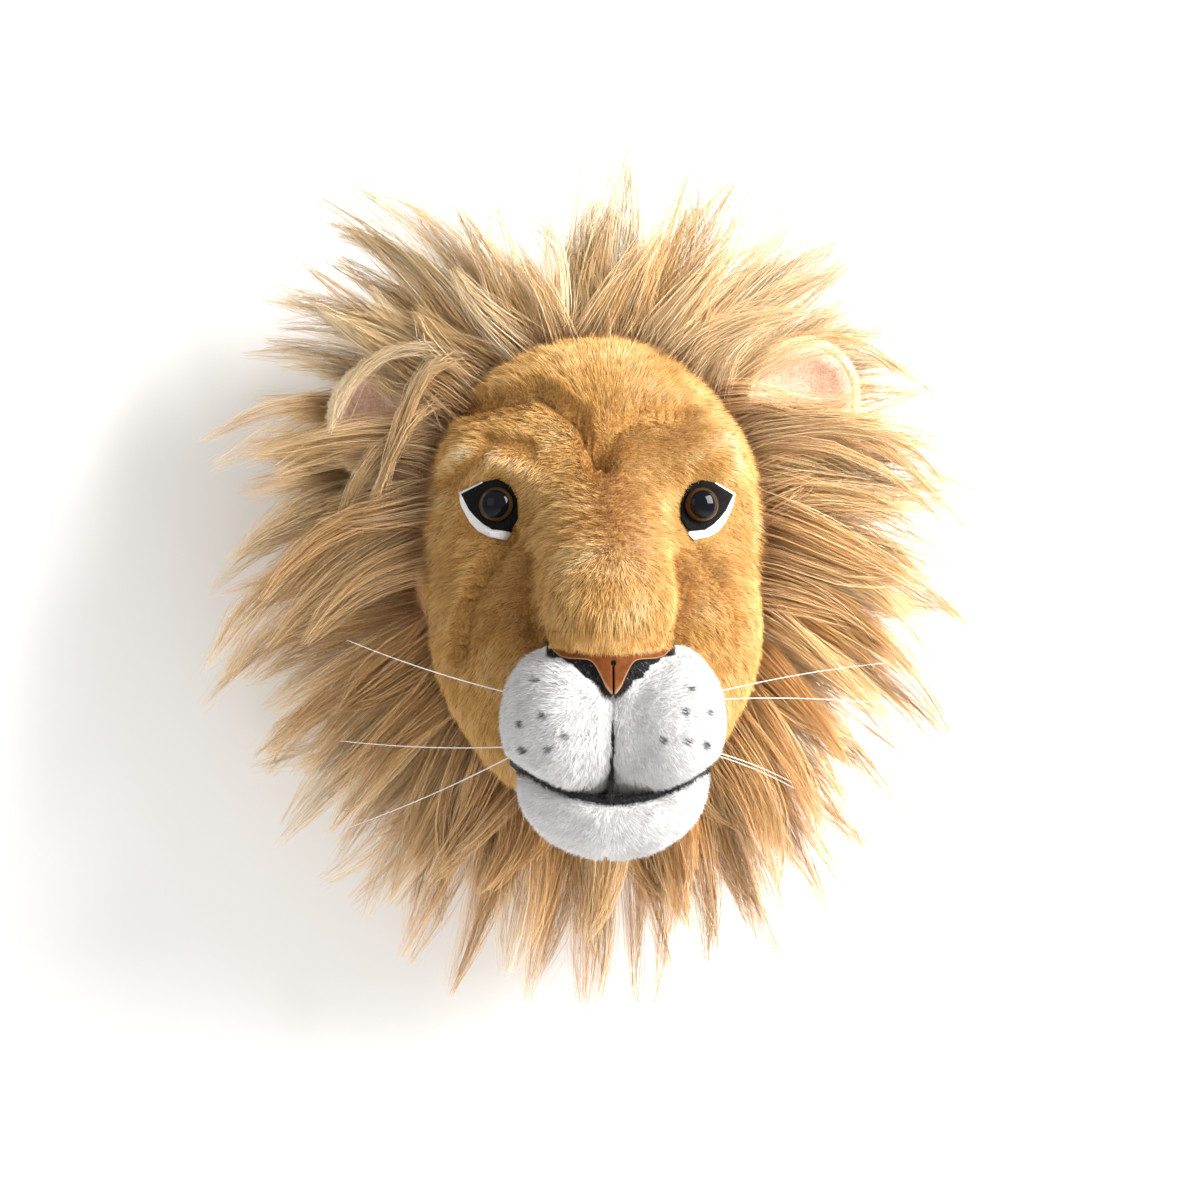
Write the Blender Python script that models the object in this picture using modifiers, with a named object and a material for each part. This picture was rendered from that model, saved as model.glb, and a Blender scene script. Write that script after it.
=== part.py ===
"""Plush lion head that hangs on a wall like a trophy.

The wall is the plane y = 0, the face looks along -Y, +Z is up, and the origin is the middle of the
board's back face. Every size is in metres. Points of the sculpted surfaces are written as
(across, forward, up), where forward is the distance from the wall.
"""

import math

import bmesh
import bpy
import numpy as np
from mathutils import Matrix, Vector

GAP = 0.0004

# Points that are drawn in to a surface go this share of what is left, this many times.
DRAW_SHARE = 0.8
DRAW_TIMES = 120
LOOK_FROM = 0.28

# How far the cutting tools reach, as distances from the wall and as heights.
TOOL_FRONT = 0.26
TOOL_BACK = 0.10
TOOL_TOP = 0.02
TOOL_BOTTOM = -0.20
TOOL_HALF_WIDTH = 0.055
TOOL_LENGTH = 0.03
BEHIND_HEAD_SIZE = 0.5

# The board that the head is fixed to, with its keyhole for a nail.
BOARD_HALF_WIDTH = 0.068
BOARD_HALF_HEIGHT = 0.084
BOARD_THICKNESS = 0.008
BOARD_EDGE_ROUND = 0.0015
KEYHOLE_UP = 0.058
KEYHOLE_RADIUS = 0.0055
SLOT_HALF_WIDTH = 0.0028
SLOT_RISE = 0.013

# The stuffed head: (centre, radii, how softly it runs into the rest).
HEAD_BACK = BOARD_THICKNESS + GAP
HEAD_CENTRE = (0.0, 0.118, -0.004)
HEAD_START = 0.20
HEAD_SEGMENTS = 35
HEAD_RINGS = 25
HEAD_CROWDING = 1.2
MUZZLE_START = 0.09
NECK_RADII = (0.075, 0.092)
NECK_UP = 0.004
NECK_FRONT = 0.085
NECK_BACK = -0.010
SKULL = ((0.0, 0.092, 0.018), (0.078, 0.062, 0.087), 0.012)
JAW = ((0.0, 0.128, -0.040), (0.062, 0.062, 0.062), 0.024)
FOREHEAD = ((0.0, 0.112, 0.062), (0.050, 0.040, 0.036), 0.016)
BROW = ((0.037, 0.126, 0.049), (0.027, 0.026, 0.017), 0.012)
CHEEK = ((0.0405, 0.128, -0.026), (0.0265, 0.040, 0.034), 0.016)
BRIDGE_START = (0.0, 0.128, 0.026)
BRIDGE_END = (0.0, 0.203, -0.012)
BRIDGE_RADII = (0.027, 0.027)
BRIDGE_SOFTNESS = 0.018
EYE_HOLLOW = ((0.0440, 0.1595, 0.0290), (0.0170, 0.0170, 0.0165))
EYE_HOLLOW_SOFTNESS = 0.006

# The white muzzle and chin, and the black line where they meet.
PAD = ((0.0213, 0.196, -0.0612), (0.0237, 0.038, 0.0310))
PAD_SHIFT = 0.0020
PAD_SOFTNESS = 0.005
MUZZLE_MIDDLE = ((0.0, 0.190, -0.060), (0.030, 0.038, 0.031))
UNDER_NOSE = ((0.0, 0.196, -0.040), (0.026, 0.0295, 0.016))
MIDDLE_SOFTNESS = 0.008
CLEFT_DEPTH = 0.0024
CLEFT_HALF_WIDTH = 0.0035
MUZZLE_CENTRE = (0.0, 0.194, -0.060)
CHIN = ((0.0030, 0.180, -0.088), (0.0385, 0.036, 0.031))
MOUTH_UP = -0.0935
MOUTH_RISE = 0.0145
MOUTH_HALF_WIDTH = 0.041
LIP_HALF = 0.0030
LIP_END_HALF = 0.0012
LIP_RECESS = 0.0010
LIP_DEPTH = 0.0080
SMILE_COLUMNS = 11
PHILTRUM_TOP = -0.060
PHILTRUM_RADIUS = 0.0011
PHILTRUM_POINTS = 6

# Creases of the face: (points as (across, up), depth, half width).
CREASES = (
    (((-0.052, 0.071), (-0.025, 0.077), (-0.008, 0.064), (-0.001, 0.045)), 0.0045, 0.0050),
    (((0.001, 0.045), (0.006, 0.060), (0.018, 0.067), (0.034, 0.066)), 0.0028, 0.0060),
    (((-0.036, 0.016), (-0.046, 0.002), (-0.055, -0.014), (-0.058, -0.034)), 0.0034, 0.0050),
    (((0.043, 0.006), (0.054, -0.010), (0.059, -0.034)), 0.0018, 0.0060),
    (((-0.030, -0.002), (-0.031, -0.015), (-0.0265, -0.029)), 0.0035, 0.0055),
    (((0.030, -0.002), (0.0315, -0.014), (0.0275, -0.027)), 0.0030, 0.0055),
)
CREASE_START = 0.100
CREASE_FADE = 0.02

# The nose: a thin leather plate over black plush nostrils.
NOSE_HALF_WIDTH = 0.0240
NOSE_TOP = -0.0315
WING_UP = -0.0372
WING_RISE = 0.0030
STEM_END = -0.0495
STEM_HALF_WIDTH = 0.0092
STEM_POWER = 1.25
NOSE_FORWARD = 0.2280
NOSE_ROUND = 17.0
NOSE_LEAN = 0.12
NOSE_THICKNESS = 0.0026
NOSTRIL_INNER = 0.0032
NOSTRIL_OUTER = 0.0225
NOSTRIL_INNER_DROP = 0.0012
NOSTRIL_OUTER_DROP = 0.0008
NOSTRIL_BOW = 0.0014
NOSTRIL_RECESS = 0.0012
NOSE_COLUMNS = 14
ROOM_COLUMNS = 11
NOSTRIL_COLUMNS = 5
PLATE_ROWS = 3

# The eyes, and the two layers of felt behind each.
EYE_ACROSS = 0.0440
EYE_UP = 0.0297
EYE_RADIUS = 0.0075
EYE_BULGE = 0.0062
EYE_PROUD = 0.0018
EYE_TURN = 0.20
WHITE_FELT_THICKNESS = 0.0010
BLACK_FELT_THICKNESS = 0.0018
FELT_FRONT = 0.200
FELT_BACK = 0.110
# Felt outlines around the eye's middle, as (outward, up), from the outer corner down and round.
BLACK_LOWER = (
    (0.0143, 0.0048), (0.0109, -0.0023), (0.0076, -0.0062), (0.0052, -0.0087), (0.0016, -0.0111),
    (-0.0059, -0.0118),
)
BLACK_UPPER = (
    (-0.0091, -0.0062), (-0.0088, 0.0020), (-0.0056, 0.0084), (0.0000, 0.0107), (0.0060, 0.0094),
)
WHITE_LOWER = (
    (0.0158, 0.0053), (0.0148, 0.0000), (0.0109, -0.0078), (0.0070, -0.0120), (0.0028, -0.0144),
    (-0.0033, -0.0156), (-0.0062, -0.0126),
)

# The ears, which the mane half covers: (across, forward, up) of their middles.
EAR_CENTRE = {"left": (-0.089, 0.093, 0.066), "right": (0.093, 0.093, 0.077)}
EAR_RADII = (0.027, 0.010, 0.030)
EAR_DISH = (0.0215, 0.0090, 0.0245)
EAR_DISH_FORWARD = 0.0075
EAR_LINING = 0.0022
EAR_TILT = 0.70
EAR_TURN = 0.22

# The mane: three tiers of locks around the head. A lock is (angle of its tip in degrees, clockwise
# from the top as seen from the front, and its reach from the origin).
MANE_ROOT = 0.110
MANE_BACK = 0.0095
MANE_INSIDE = 0.006
ROOT_STEP = 0.003
SHOULDER_SHARE = 0.45
SHOULDER_RISE = 0.2
TOP_LOCKS = (
    (-31, 0.198), (-21, 0.212), (-12, 0.185), (0, 0.200), (6, 0.206), (14, 0.190), (21, 0.197),
    (31, 0.211),
)
RIGHT_LOCKS = (
    (39, 0.198), (45, 0.196), (52, 0.189), (61, 0.185), (70, 0.176), (79, 0.185), (89, 0.172),
    (98, 0.175), (107, 0.170), (117, 0.183), (127, 0.191), (136, 0.189),
)
BOTTOM_LOCKS = (
    (145, 0.188), (153, 0.205), (163, 0.188), (171, 0.198), (180, 0.198), (188, 0.195), (198, 0.198),
    (206, 0.192),
)
LEFT_LOCKS = (
    (213, 0.185), (221, 0.184), (229, 0.186), (240, 0.176), (251, 0.184), (262, 0.168), (273, 0.160),
    (282, 0.158), (290, 0.163), (298, 0.170), (306, 0.180), (313, 0.193), (321, 0.186),
)
OUTER_TIP_FORWARD = 0.064
OUTER_SWELL = 0.008
OUTER_UNDERSIDE = 0.026
FRONT_LOCK_COUNT = 27
FRONT_SEED = 3
FRONT_REACH = (0.130, 0.156)
FRONT_TIP_FORWARD = 0.101
FRONT_UNDERSIDE = 0.014
FRONT_OVERHANG = 0.006
REAR_LOCK_COUNT = 31
REAR_SEED = 11
REAR_REACH = (0.140, 0.172)
REAR_TIP_FORWARD = 0.020
REAR_UNDERSIDE = 0.010
VALLEY_REACH = 0.130
FRONT_VALLEY, OUTER_VALLEY, REAR_VALLEY = 0.88, 0.80, 0.86
FRONT_POINT, OUTER_POINT, REAR_POINT = 1.0, 1.15, 1.0
LOCK_JOG = 0.33
EAR_PARTING = 0.22
EAR_PARTING_WIDTH = 0.16
LOCK_RIDGE = 0.006
DROOP = math.radians(13.0)
DROOP_AT_SIDES = 0.45
FALL_START = 0.08
FALL_LENGTH = 0.12
STATIONS_PER_LOCK = 4

# White nylon whiskers: (root, tip), both as (across, forward, up).
WHISKERS = {
    "left_1": ((-0.040, 0.196, -0.050), (-0.108, 0.185, -0.028)),
    "left_2": ((-0.038, 0.196, -0.072), (-0.111, 0.182, -0.070)),
    "left_3": ((-0.038, 0.196, -0.075), (-0.109, 0.180, -0.107)),
    "right_1": ((0.040, 0.196, -0.051), (0.117, 0.184, -0.038)),
    "right_2": ((0.040, 0.196, -0.053), (0.118, 0.182, -0.055)),
    "right_3": ((0.038, 0.194, -0.074), (0.083, 0.154, -0.092)),
    "right_4": ((0.038, 0.196, -0.073), (0.081, 0.160, -0.089)),
}
WHISKER_RADIUS = 0.0004
WHISKER_SAG = 0.0015
WHISKER_POINTS = 5
WHISKER_TRIALS = 200


def clear_scene():
    for old in list(bpy.data.objects):
        bpy.data.objects.remove(old, do_unlink=True)


def collection(name):
    made = bpy.data.collections.new(name)
    bpy.context.scene.collection.children.link(made)
    return made


def material(name, colour, roughness):
    made = bpy.data.materials.new(name)
    made.use_nodes = True
    shader = made.node_tree.nodes["Principled BSDF"]
    shader.inputs["Base Color"].default_value = (*colour, 1.0)
    shader.inputs["Roughness"].default_value = roughness
    return made


def in_world(point):
    """A point given as (across, forward, up) in the model's own axes."""
    return Vector((point[0], -point[1], point[2]))


def place(name, bm, where, look=None):
    mesh = bpy.data.meshes.new(name)
    bm.normal_update()
    bmesh.ops.recalc_face_normals(bm, faces=bm.faces)
    bm.to_mesh(mesh)
    bm.free()
    mesh.shade_smooth()
    made = bpy.data.objects.new(name, mesh)
    where.objects.link(made)
    if look is not None:
        mesh.materials.append(look)
    return made


def cutter(name, bm, where):
    made = place(name, bm, where)
    made.hide_render = True
    made.display_type = "WIRE"
    return made


def boolean(target, tool, operation="DIFFERENCE"):
    step = target.modifiers.new(f"{operation.lower()} {tool.name}", "BOOLEAN")
    step.operation = operation
    step.solver = "EXACT"
    step.object = tool


def mirrored(centre, side):
    return (centre[0] * side, centre[1], centre[2])


def ellipsoid_distance(points, centre, radii):
    offset = points - np.array(centre)
    scaled = np.linalg.norm(offset / np.array(radii), axis=1)
    slope = np.linalg.norm(offset / np.square(radii), axis=1)
    return scaled * (scaled - 1.0) / np.maximum(slope, 1e-6)


def capsule_distance(points, start, end, radii):
    start, along = np.array(start), np.array(end) - np.array(start)
    share = np.clip((points - start) @ along / (along @ along), 0.0, 1.0)
    nearest = start + share[:, None] * along
    return np.linalg.norm(points - nearest, axis=1) - (radii[0] + share * (radii[1] - radii[0]))


def melt(first, second, softness):
    """The nearer of two distances, with the corner between them filled."""
    overlap = np.maximum(softness - np.abs(first - second), 0.0) / softness
    return np.minimum(first, second) - overlap * overlap * softness / 4.0


def path_distance(points, path):
    """How far each point is from a path of straight runs, both as (across, up)."""
    nearest = np.full(len(points), np.inf)
    for start, end in zip(path[:-1], path[1:]):
        start, along = np.array(start), np.array(end) - np.array(start)
        share = np.clip((points - start) @ along / (along @ along), 0.0, 1.0)
        gap = np.linalg.norm(points - start - share[:, None] * along, axis=1)
        nearest = np.minimum(nearest, gap)
    return nearest


def neck_distance(points):
    offset = (points[:, (0, 2)] - np.array((0.0, NECK_UP))) / np.array(NECK_RADII)
    side = (np.linalg.norm(offset, axis=1) - 1.0) * min(NECK_RADII)
    return np.maximum(side, np.maximum(points[:, 1] - NECK_FRONT, NECK_BACK - points[:, 1]))


def head_distance(points):
    """Signed distance to the skin of the stuffed head: negative inside."""
    skin = melt(neck_distance(points), ellipsoid_distance(points, *SKULL[:2]), SKULL[2])
    for centre, radii, softness in (JAW, FOREHEAD):
        skin = melt(skin, ellipsoid_distance(points, centre, radii), softness)
    for centre, radii, softness in (BROW, CHEEK):
        for side in (-1, 1):
            skin = melt(skin, ellipsoid_distance(points, mirrored(centre, side), radii), softness)
    bridge = capsule_distance(points, BRIDGE_START, BRIDGE_END, BRIDGE_RADII)
    skin = melt(skin, bridge, BRIDGE_SOFTNESS)
    for side in (-1, 1):
        hollow = ellipsoid_distance(points, mirrored(EYE_HOLLOW[0], side), EYE_HOLLOW[1])
        skin = -melt(-skin, hollow, EYE_HOLLOW_SOFTNESS)
    on_face = np.clip((points[:, 1] - CREASE_START) / CREASE_FADE, 0.0, 1.0)
    for path, depth, half_width in CREASES:
        near = path_distance(points[:, (0, 2)], path) / half_width
        skin = skin + on_face * depth * np.exp(-near * near)
    return skin


def muzzle_distance(points):
    shifted = points - np.array((PAD_SHIFT, 0.0, 0.0))
    pads = [ellipsoid_distance(shifted, mirrored(PAD[0], side), PAD[1]) for side in (-1, 1)]
    skin = melt(pads[0], pads[1], PAD_SOFTNESS)
    for centre, radii in (MUZZLE_MIDDLE, UNDER_NOSE):
        skin = melt(skin, ellipsoid_distance(points, centre, radii), MIDDLE_SOFTNESS)
    near = points[:, 0] / CLEFT_HALF_WIDTH
    return skin + CLEFT_DEPTH * np.exp(-near * near)


def chin_distance(points):
    return ellipsoid_distance(points, *CHIN)


def drawn_in(distance, starts, ways, reach):
    """How far out, along their ways from their starts, points come to rest on a surface."""
    reach = np.full(len(ways), reach)
    for _ in range(DRAW_TIMES):
        reach -= DRAW_SHARE * distance(starts + ways * reach[:, None])
    return reach


def sculpted(distance, centre, start, segments, rings, grow=0.0, pole="forward", crowding=1.0):
    """A ball whose points are drawn in from outside along their own directions to a surface.

    A crowding above 1 gathers its rings towards the front.
    """
    bm = bmesh.new()
    bmesh.ops.create_uvsphere(bm, u_segments=segments, v_segments=rings, radius=1.0)
    bmesh.ops.triangulate(bm, faces=bm.faces, quad_method="FIXED")
    turn = Matrix.Rotation(math.pi / 2 if pole == "forward" else 0.0, 3, "X")
    ways = np.array([turn @ v.co for v in bm.verts])
    ways[:, 1] *= -1.0
    ways /= np.linalg.norm(ways, axis=1)[:, None]
    if crowding != 1.0:
        off_axis = np.arccos(np.clip(ways[:, 1], -1.0, 1.0))
        gathered = math.pi * (off_axis / math.pi) ** crowding
        ways[:, (0, 2)] *= (np.sin(gathered) / np.maximum(np.sin(off_axis), 1e-9))[:, None]
        ways[:, 1] = np.cos(gathered)
    reach = drawn_in(lambda points: distance(points) - grow, np.array(centre), ways, start)
    points = np.array(centre) + ways * reach[:, None]
    for v, point in zip(bm.verts, points):
        v.co = in_world(point)
    return bm


def surface_forward(distance, across, up):
    """How far from the wall a surface is in front of places on the wall."""
    across, up = np.broadcast_arrays(np.atleast_1d(across), np.atleast_1d(up))
    starts = np.stack((across, 0 * across, up), axis=1)
    ways = np.tile((0.0, 1.0, 0.0), (len(across), 1))
    return drawn_in(distance, starts, ways, LOOK_FROM)


def make_head(parts, tools, look):
    def grown_head(grow):
        return sculpted(
            head_distance, HEAD_CENTRE, HEAD_START, HEAD_SEGMENTS, HEAD_RINGS, grow, crowding=HEAD_CROWDING
        )

    head = place("head", grown_head(0.0), parts, look)
    behind = bmesh.new()
    bmesh.ops.create_cube(behind, size=1.0)
    for v in behind.verts:
        v.co = v.co * BEHIND_HEAD_SIZE + Vector((0.0, BEHIND_HEAD_SIZE / 2 - HEAD_BACK, 0.0))
    boolean(head, cutter("behind_head", behind, tools))
    grown = {}
    for name, grow in (
        ("head_fit", GAP),
        ("white_felt", GAP + WHITE_FELT_THICKNESS),
        ("black_felt", GAP + BLACK_FELT_THICKNESS),
    ):
        grown[name] = cutter(name, grown_head(grow), tools)
    return head, grown


def make_board(parts, tools, look):
    bm = bmesh.new()
    bmesh.ops.create_cone(
        bm, cap_ends=True, segments=32, radius1=1.0, radius2=1.0, depth=BOARD_THICKNESS
    )
    for v in bm.verts:
        x, y, z = v.co
        v.co = (x * BOARD_HALF_WIDTH, z - BOARD_THICKNESS / 2, y * BOARD_HALF_HEIGHT)
    board = place("back_board", bm, parts, look)
    rounding = board.modifiers.new("edge", "BEVEL")
    rounding.width = BOARD_EDGE_ROUND
    rounding.segments = 1
    hole = bmesh.new()
    bmesh.ops.create_cone(
        hole, cap_ends=True, segments=20, radius1=KEYHOLE_RADIUS, radius2=KEYHOLE_RADIUS, depth=TOOL_LENGTH
    )
    for v in hole.verts:
        x, y, z = v.co
        v.co = (x, z, y + KEYHOLE_UP)
    boolean(board, cutter("keyhole_round", hole, tools))
    slot = bmesh.new()
    bmesh.ops.create_cube(slot, size=1.0)
    for v in slot.verts:
        v.co.x *= 2 * SLOT_HALF_WIDTH
        v.co.y *= TOOL_LENGTH
        v.co.z = v.co.z * SLOT_RISE + KEYHOLE_UP + SLOT_RISE / 2
    boolean(board, cutter("keyhole_slot", slot, tools))
    return board


def tube(name, points, radius, where, sides=6):
    """A closed upright tube through points given as (across, forward, up)."""
    bm = bmesh.new()
    rings = []
    for i, point in enumerate(points):
        before = in_world(points[max(i - 1, 0)])
        after = in_world(points[min(i + 1, len(points) - 1)])
        along, across = (after - before).normalized(), Vector((1.0, 0.0, 0.0))
        other = along.cross(across)
        angles = [2 * math.pi * (k + 0.5) / sides for k in range(sides)]
        rings.append([
            bm.verts.new(in_world(point) + radius * (math.cos(a) * across + math.sin(a) * other))
            for a in angles
        ])
    for low, high in zip(rings[:-1], rings[1:]):
        for k in range(sides):
            bm.faces.new((low[k], low[(k + 1) % sides], high[(k + 1) % sides], high[k]))
    bm.faces.new(rings[0])
    bm.faces.new(rings[-1])
    return cutter(name, bm, where)


def plate(start, end, columns, low, high, front, back):
    """A curved plate between two heights, from back to front, with its columns side by side."""
    bm = bmesh.new()
    layers = []
    for depth in (back, front):
        grid = []
        for i in range(columns + 1):
            x = start + (end - start) * i / columns
            heights = [low(x) + (high(x) - low(x)) * j / PLATE_ROWS for j in range(PLATE_ROWS + 1)]
            grid.append([bm.verts.new(in_world((x, depth(x, z), z))) for z in heights])
        layers.append(grid)
    for grid in layers:
        for i in range(columns):
            for j in range(PLATE_ROWS):
                bm.faces.new((grid[i][j], grid[i + 1][j], grid[i + 1][j + 1], grid[i][j + 1]))
    behind, before = layers
    rim = [(i, 0) for i in range(columns)] + [(columns, j) for j in range(PLATE_ROWS)]
    rim += [(i, PLATE_ROWS) for i in range(columns, 0, -1)] + [(0, j) for j in range(PLATE_ROWS, 0, -1)]
    for (a, b), (c, d) in zip(rim, rim[1:] + rim[:1]):
        bm.faces.new((behind[a][b], behind[c][d], before[c][d], before[a][b]))
    return bm


def smile_up(across):
    """Height of the mouth's middle line."""
    return MOUTH_UP + MOUTH_RISE * ((across - PAD_SHIFT) / MOUTH_HALF_WIDTH) ** 2


def lip_half(across):
    """Half the height of the black strip, which thins towards the corners of the mouth."""
    share = min(abs(across - PAD_SHIFT) / MOUTH_HALF_WIDTH, 1.0)
    return LIP_END_HALF + (LIP_HALF - LIP_END_HALF) * (1.0 - share * share)


def face_front(across, up):
    def both(points):
        return np.minimum(muzzle_distance(points), chin_distance(points))

    return float(surface_forward(both, across, up)[0])


def make_mouth(parts, tools, looks, grown):
    """Muzzle and chin, parted by the smile, with the black strip sewn in between them."""
    pads = sculpted(muzzle_distance, MUZZLE_CENTRE, MUZZLE_START, 24, 13, pole="up")
    muzzle = place("muzzle", pads, parts, looks["white plush"])
    rounded = sculpted(chin_distance, CHIN[0], MUZZLE_START, 17, 11)
    chin = place("chin", rounded, parts, looks["white plush"])
    below = plate(
        -TOOL_HALF_WIDTH, TOOL_HALF_WIDTH, SMILE_COLUMNS, lambda x: TOOL_BOTTOM,
        lambda x: smile_up(x) + lip_half(x), lambda x, z: TOOL_FRONT, lambda x, z: TOOL_BACK,
    )
    above = plate(
        -TOOL_HALF_WIDTH, TOOL_HALF_WIDTH, SMILE_COLUMNS, lambda x: smile_up(x) - lip_half(x),
        lambda x: TOOL_TOP, lambda x, z: TOOL_FRONT, lambda x, z: TOOL_BACK,
    )
    strip = plate(
        PAD_SHIFT - MOUTH_HALF_WIDTH, PAD_SHIFT + MOUTH_HALF_WIDTH, SMILE_COLUMNS,
        lambda x: smile_up(x) - lip_half(x) + GAP, lambda x: smile_up(x) + lip_half(x) - GAP,
        lambda x, z: face_front(x, smile_up(x)) - LIP_RECESS,
        lambda x, z: face_front(x, smile_up(x)) - LIP_RECESS - LIP_DEPTH,
    )
    line = place("mouth_line", strip, parts, looks["black plush"])
    heights = np.linspace(MOUTH_UP, PHILTRUM_TOP, PHILTRUM_POINTS)
    rise = [(0.0, face_front(0.0, z), z) for z in heights]
    rise[0] = (0.0, rise[0][1] - LIP_RECESS - LIP_DEPTH / 2, MOUTH_UP)
    boolean(line, tube("philtrum", rise, PHILTRUM_RADIUS, tools), "UNION")
    boolean(muzzle, grown["head_fit"])
    boolean(muzzle, cutter("below_mouth", below, tools))
    boolean(muzzle, tube("philtrum_groove", rise, PHILTRUM_RADIUS + GAP, tools))
    boolean(chin, grown["head_fit"])
    boolean(chin, cutter("above_mouth", above, tools))
    boolean(line, grown["head_fit"])
    return muzzle


def nose_forward(across, up):
    return NOSE_FORWARD - NOSE_ROUND * across * across - NOSE_LEAN * (up - WING_UP)


def nose_under(across):
    """The lower edge of the leather: wings that dip into a stem."""
    share = min(abs(across) / STEM_HALF_WIDTH, 1.0)
    stem = STEM_END + (WING_UP - STEM_END) * share ** STEM_POWER
    outer = max(abs(across) - STEM_HALF_WIDTH, 0.0) / (NOSE_HALF_WIDTH - STEM_HALF_WIDTH)
    return stem + WING_RISE * outer * outer


def nostril_under(across):
    share = (abs(across) - NOSTRIL_INNER) / (NOSTRIL_OUTER - NOSTRIL_INNER)
    inner = nose_under(NOSTRIL_INNER) - NOSTRIL_INNER_DROP
    outer = nose_under(NOSTRIL_OUTER) - NOSTRIL_OUTER_DROP
    return inner + (outer - inner) * share - NOSTRIL_BOW * math.sin(math.pi * share)


def nose_room_under(across):
    """The lower edge of the space that the leather and both nostrils fill."""
    outward = min(max(abs(across), NOSTRIL_INNER), NOSTRIL_OUTER)
    return min(nose_under(min(abs(across), NOSE_HALF_WIDTH)), nostril_under(outward)) - GAP


def make_nose(parts, tools, looks):
    def back(x, z):
        return nose_forward(x, z) - NOSE_THICKNESS

    leather = plate(
        -NOSE_HALF_WIDTH, NOSE_HALF_WIDTH, NOSE_COLUMNS, nose_under, lambda x: NOSE_TOP, nose_forward, back
    )
    place("nose_leather", leather, parts, looks["leather"])
    for side, start, end in (
        ("left", -NOSTRIL_OUTER, -NOSTRIL_INNER), ("right", NOSTRIL_INNER, NOSTRIL_OUTER)
    ):
        nostril = plate(
            start, end, NOSTRIL_COLUMNS, nostril_under, lambda x: nose_under(x) - GAP,
            lambda x, z: nose_forward(x, z) - NOSTRIL_RECESS, lambda x, z: back(x, z) - NOSTRIL_RECESS,
        )
        place(f"nostril_{side}", nostril, parts, looks["black plush"])
    room = plate(
        -NOSE_HALF_WIDTH - GAP, NOSE_HALF_WIDTH + GAP, ROOM_COLUMNS, nose_room_under,
        lambda x: NOSE_TOP + GAP, lambda x, z: nose_forward(x, z) + TOOL_LENGTH,
        lambda x, z: back(x, z) - NOSTRIL_RECESS - GAP,
    )
    return cutter("nose_room", room, tools)


def crescent():
    """The white felt that shows: from its own lower edge up to just short of the black felt."""
    upper = []
    for k, (out, up) in enumerate(BLACK_LOWER):
        before, after = BLACK_LOWER[max(k - 1, 0)], BLACK_LOWER[min(k + 1, len(BLACK_LOWER) - 1)]
        along = Vector(after) - Vector(before)
        away = Vector((along.y, -along.x)).normalized()
        upper.append(Vector((out, up)) - GAP * away)
    return [Vector(p) for p in WHITE_LOWER] + upper[::-1]


def felt(name, outline, side, outer, inner, where, look):
    """A felt shape that follows the head: a prism kept between two grown heads."""
    bm = bmesh.new()
    near, far = [], []
    for out, up in outline:
        x, z = side * (EYE_ACROSS + out), EYE_UP + up
        near.append(bm.verts.new(in_world((x, FELT_FRONT, z))))
        far.append(bm.verts.new(in_world((x, FELT_BACK, z))))
    bm.faces.new(near)
    bm.faces.new(far)
    for k in range(len(outline)):
        after = (k + 1) % len(outline)
        bm.faces.new((near[k], near[after], far[after], far[k]))
    made = place(name, bm, where, look)
    boolean(made, outer, "INTERSECT")
    boolean(made, inner)
    return made


def ball(centre, radii, turn, segments, rings, grow=0.0):
    bm = bmesh.new()
    bmesh.ops.create_uvsphere(bm, u_segments=segments, v_segments=rings, radius=1.0)
    for v in bm.verts:
        x, y, z = v.co.x, v.co.z, v.co.y
        size = Vector((x * (radii[0] + grow), y * (radii[1] + grow), z * (radii[2] + grow)))
        v.co = in_world(centre) + turn @ size
    return bm


def make_eyes(parts, tools, looks, head, grown):
    forward = float(surface_forward(head_distance, EYE_ACROSS, EYE_UP)[0]) + EYE_PROUD
    radii = (EYE_RADIUS, EYE_BULGE, EYE_RADIUS)
    for name, side in (("left", -1), ("right", 1)):
        centre = (side * EYE_ACROSS, forward, EYE_UP)
        turn = Matrix.Rotation(side * EYE_TURN, 3, "Z")
        place(f"eye_{name}", ball(centre, radii, turn, 14, 7), parts, looks["eye plastic"])
        socket = cutter(f"eye_socket_{name}", ball(centre, radii, turn, 13, 7, GAP), tools)
        white = felt(
            f"eye_rim_{name}", crescent(), side, grown["white_felt"], grown["head_fit"],
            parts, looks["white felt"],
        )
        black = felt(
            f"eye_patch_{name}", BLACK_LOWER + BLACK_UPPER, side, grown["black_felt"], grown["head_fit"],
            parts, looks["black felt"],
        )
        for piece in (head, black):
            boolean(piece, socket)


def ear_turn(side):
    return Matrix.Rotation(side * EAR_TURN, 3, "Z") @ Matrix.Rotation(side * EAR_TILT, 3, "Y")


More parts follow.
